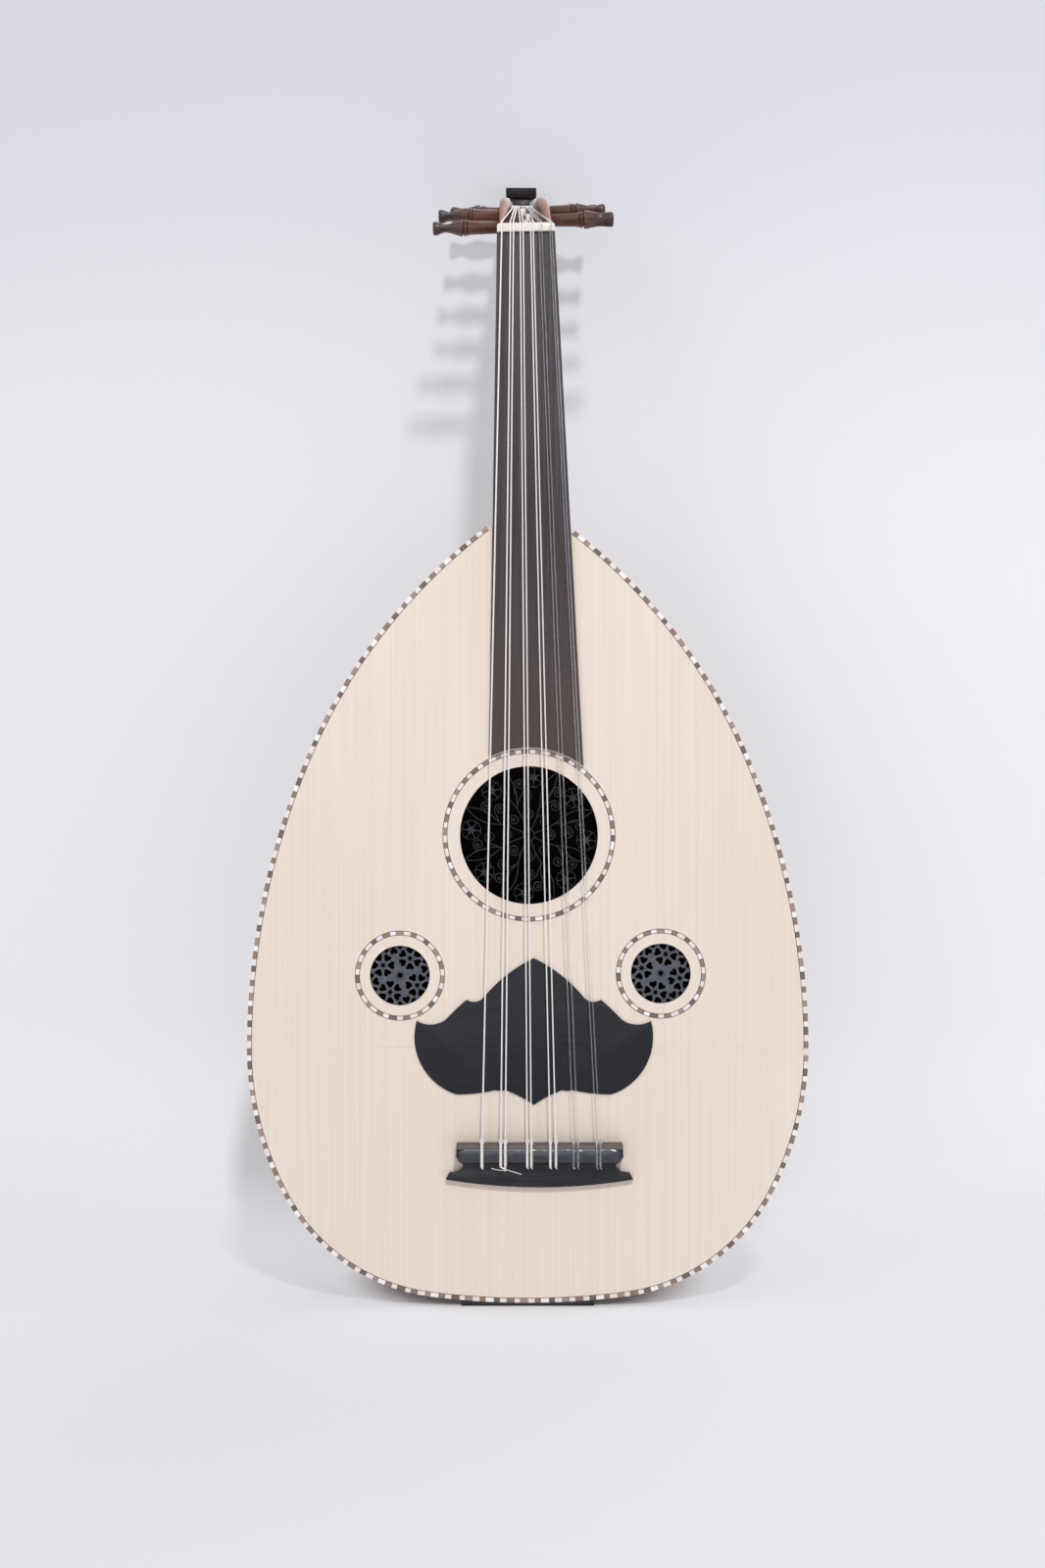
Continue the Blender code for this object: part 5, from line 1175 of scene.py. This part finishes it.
def studioPaint():
    material, tree, shader = newMaterial("matt studio paint")
    coords = addNode(tree, "ShaderNodeTexCoord")
    parts = addNode(tree, "ShaderNodeSeparateXYZ", {"Vector": coords.outputs["Object"]})
    mottle = addNode(tree, "ShaderNodeTexNoise", {"Vector": coords.outputs["Object"], "Scale": 3.0, "Detail": 2.0})
    # Painted shade: the paint darkens towards the top and, by the left shade, towards the left, as the studio light
    # falls off.
    height = addNode(tree, "ShaderNodeMapRange", {
        "Value": parts.outputs["Z"], "From Min": 0.42, "From Max": 0.86,
    }, interpolation_type="SMOOTHSTEP")
    paint = addNode(tree, "ShaderNodeMix", {
        "Factor": height.outputs[0], "A": linear(stage["paint"]), "B": linear(stage["paintShadedTop"]),
    }, data_type="RGBA")
    leftward = addNode(tree, "ShaderNodeMapRange", {
        "Value": parts.outputs["X"], "From Min": -0.35, "From Max": 0.25, "To Min": stage["leftShade"], "To Max": 1.0,
    })
    shaded = addNode(tree, "ShaderNodeVectorMath", {
        0: paint.outputs["Result"], "Scale": leftward.outputs[0],
    }, operation="SCALE")
    rough = addNode(tree, "ShaderNodeMapRange", {"Value": mottle.outputs["Fac"], "To Min": 0.85, "To Max": 0.95})
    tree.links.new(shaded.outputs[0], shader.inputs["Base Color"])
    tree.links.new(rough.outputs[0], shader.inputs["Roughness"])
    shader.inputs["Specular IOR Level"].default_value = 0.0
    return material, tree, shader, coords, parts, shaded.outputs[0]


def coreShare(tree, coords, share):
    away = addNode(tree, "ShaderNodeVectorMath", {
        0: coords.outputs["Object"], 1: stage["core"],
    }, operation="DISTANCE")
    return addNode(tree, "ShaderNodeMapRange", {
        "Value": away.outputs["Value"], "From Min": stage["coreReach"][0], "From Max": stage["coreReach"][1],
        "To Min": stage["coreShare"], "To Max": share,
    }, interpolation_type="SMOOTHSTEP").outputs[0]


def stagePiece(name, builder, material):
    mesh = bpy.data.meshes.new(name)
    builder.to_mesh(mesh)
    builder.free()
    mesh.materials.append(material)
    mesh.shade_smooth()
    piece = bpy.data.objects.new(name, mesh)
    bpy.context.scene.collection.objects.link(piece)


# Far from the instrument the floor turns into the plain background colour, so that no horizon shows.
def makeFloor():
    builder = bmesh.new()
    bmesh.ops.create_grid(builder, x_segments=1, y_segments=1, size=stage["floor"])
    material, tree, shader, coords, parts, colour = studioPaint()
    distance = addNode(tree, "ShaderNodeVectorMath", {0: coords.outputs["Object"]}, operation="LENGTH")
    reach = addNode(tree, "ShaderNodeMapRange", {
        "Value": distance.outputs["Value"], "From Min": stage["nearReach"], "From Max": stage["farReach"],
        "To Min": coreShare(tree, coords, stage["plainFloor"]), "To Max": 1.0,
    }, interpolation_type="SMOOTHSTEP")
    path = addNode(tree, "ShaderNodeLightPath")
    seen = addNode(tree, "ShaderNodeMath", {
        0: path.outputs["Is Camera Ray"], 1: path.outputs["Is Glossy Ray"],
    }, operation="MAXIMUM")
    glowing = addNode(tree, "ShaderNodeMath", {0: seen.outputs[0], 1: stage["bounce"]}, operation="MAXIMUM")
    share = addNode(tree, "ShaderNodeMath", {0: reach.outputs[0], 1: glowing.outputs[0]}, operation="MULTIPLY")
    glow = addNode(tree, "ShaderNodeEmission", {"Color": linear(stage["farPaint"])})
    mixed = addNode(tree, "ShaderNodeMixShader", {0: share.outputs[0], 1: shader.outputs[0], 2: glow.outputs[0]})
    tree.links.new(mixed.outputs[0], tree.nodes["Material Output"].inputs["Surface"])
    stagePiece("floor", builder, material)


# The wall catches the instrument's shadow. It is seen from its front alone, and fades out at its edges.
def makeWall():
    lean = math.radians(stage["wallLean"])
    foot = stage["wallY"] + stage["wallZ"] * math.tan(lean)
    bend = stage["wallBend"]
    # The bend touches the floor and the leaning wall.
    turnEnd = math.pi / 2 + lean
    startY = foot - bend * math.tan(turnEnd / 2)
    profile = [(startY + bend * math.sin(turnEnd * i / 16), 0.0004 + bend * (1 - math.cos(turnEnd * i / 16)))
               for i in range(17)]
    y, z = profile[-1]
    profile.append((y - (stage["wallTop"] - z) * math.tan(lean), stage["wallTop"]))
    builder = bmesh.new()
    line = [builder.verts.new((-stage["wallWidth"], y, z)) for y, z in profile]
    edges = [builder.edges.new(pair) for pair in zip(line, line[1:])]
    grown = bmesh.ops.extrude_edge_only(builder, edges=edges)["geom"]
    moved = [item for item in grown if isinstance(item, bmesh.types.BMVert)]
    bmesh.ops.translate(builder, verts=moved, vec=(2 * stage["wallWidth"], 0.0, 0.0))
    bmesh.ops.recalc_face_normals(builder, faces=builder.faces)
    if builder.faces[:][-1].normal.y > 0:
        bmesh.ops.reverse_faces(builder, faces=builder.faces)
    material, tree, shader, coords, parts, colour = studioPaint()
    side = addNode(tree, "ShaderNodeMath", {0: parts.outputs["X"]}, operation="ABSOLUTE")
    within = addNode(tree, "ShaderNodeMapRange", {
        "Value": side.outputs[0], "From Min": 0.45, "From Max": 0.72, "To Min": 1.0, "To Max": 0.0,
    }, interpolation_type="SMOOTHSTEP")
    below = addNode(tree, "ShaderNodeMapRange", {
        "Value": parts.outputs["Z"], "From Min": 0.95, "From Max": 1.25, "To Min": 1.0, "To Max": 0.0,
    }, interpolation_type="SMOOTHSTEP")
    path = addNode(tree, "ShaderNodeLightPath")
    facing = addNode(tree, "ShaderNodeNewGeometry")
    front = addNode(tree, "ShaderNodeMath", {0: 1.0, 1: facing.outputs["Backfacing"]}, operation="SUBTRACT")
    # Its foot fades into the floor, so that no line shows between them.
    above = addNode(tree, "ShaderNodeMapRange", {
        "Value": parts.outputs["Z"], "From Min": 0.01, "From Max": 0.06,
    }, interpolation_type="SMOOTHSTEP")
    share = within.outputs[0]
    for factor in (below.outputs[0], above.outputs[0], path.outputs["Is Camera Ray"], front.outputs[0]):
        share = addNode(tree, "ShaderNodeMath", {0: share, 1: factor}, operation="MULTIPLY").outputs[0]
    plain = addNode(tree, "ShaderNodeEmission", {"Color": colour})
    rising = addNode(tree, "ShaderNodeMapRange", {
        "Value": parts.outputs["Z"], "From Min": 0.0, "From Max": 0.08, "To Min": stage["plainFoot"],
        "To Max": stage["plainWall"],
    }, interpolation_type="SMOOTHSTEP")
    plainShare = coreShare(tree, coords, rising.outputs[0])
    paint = addNode(tree, "ShaderNodeMixShader", {0: plainShare, 1: shader.outputs[0], 2: plain.outputs[0]})
    clear = addNode(tree, "ShaderNodeBsdfTransparent")
    mixed = addNode(tree, "ShaderNodeMixShader", {0: share, 1: clear.outputs[0], 2: paint.outputs[0]})
    tree.links.new(mixed.outputs[0], tree.nodes["Material Output"].inputs["Surface"])
    stagePiece("wall", builder, material)


def makeWorld():
    world = bpy.data.worlds.new("studio")
    bpy.context.scene.world = world
    world.use_nodes = True
    tree = world.node_tree
    background = tree.nodes["Background"]
    path = addNode(tree, "ShaderNodeLightPath")
    seen = addNode(tree, "ShaderNodeMath", {
        0: path.outputs["Is Camera Ray"], 1: path.outputs["Is Glossy Ray"],
    }, operation="MAXIMUM")
    through = addNode(tree, "ShaderNodeMath", {0: seen.outputs[0], 1: path.outputs["Is Transmission Ray"]}, operation="MAXIMUM")
    strength = addNode(tree, "ShaderNodeMix", {0: through.outputs[0], 2: stage["worldLight"], 3: 1.0})
    background.inputs["Color"].default_value = linear(stage["world"])
    tree.links.new(strength.outputs[0], background.inputs["Strength"])


lamps = {
    "key_lamp": {"place": (0.6, -4.4, 4.1), "size": 0.4, "power": 150.0},
    "fill_lamp": {"place": (-0.1, -1.7, 0.12), "size": 1.0, "power": 3.0},
    "top_lamp": {"place": (0.0, -1.0, 2.8), "size": 1.4, "power": 9.0},
    "left_lamp": {"place": (-1.6, -2.2, 1.3), "size": 0.9, "power": 6.0},
    "back_lamp": {"place": (0.9, 2.0, 1.8), "size": 1.8, "power": 24.0},
}


def makeLamps():
    aim = Vector((0.0, 0.02, 0.33))
    for name, facts in lamps.items():
        light = bpy.data.lights.new(name, "AREA")
        light.size = facts["size"]
        light.energy = facts["power"]
        lamp = bpy.data.objects.new(name, light)
        lamp.location = facts["place"]
        lamp.rotation_euler = (aim - lamp.location).to_track_quat("-Z", "Y").to_euler()
        bpy.context.scene.collection.objects.link(lamp)


# The lens looks straight at the soundboard from a little to the left, and the shift brings the picture back.
cameraFacts = {"x": -0.0232, "z": 0.309, "distance": 1.3, "lens": 50.43, "shift": 0.0217}


def makeCamera():
    data = bpy.data.cameras.new("photo_camera")
    data.lens = cameraFacts["lens"]
    data.sensor_width = 36.0
    data.shift_x = cameraFacts["shift"]
    camera = bpy.data.objects.new("photo_camera", data)
    camera.location = (cameraFacts["x"], faceY - cameraFacts["distance"], cameraFacts["z"])
    camera.rotation_euler = (math.pi / 2, 0.0, 0.0)
    bpy.context.scene.collection.objects.link(camera)
    bpy.context.scene.camera = camera


makeFloor()
makeWall()
makeWorld()
makeLamps()
makeCamera()
bpy.context.scene.view_settings.view_transform = "Standard"
print("stage set")
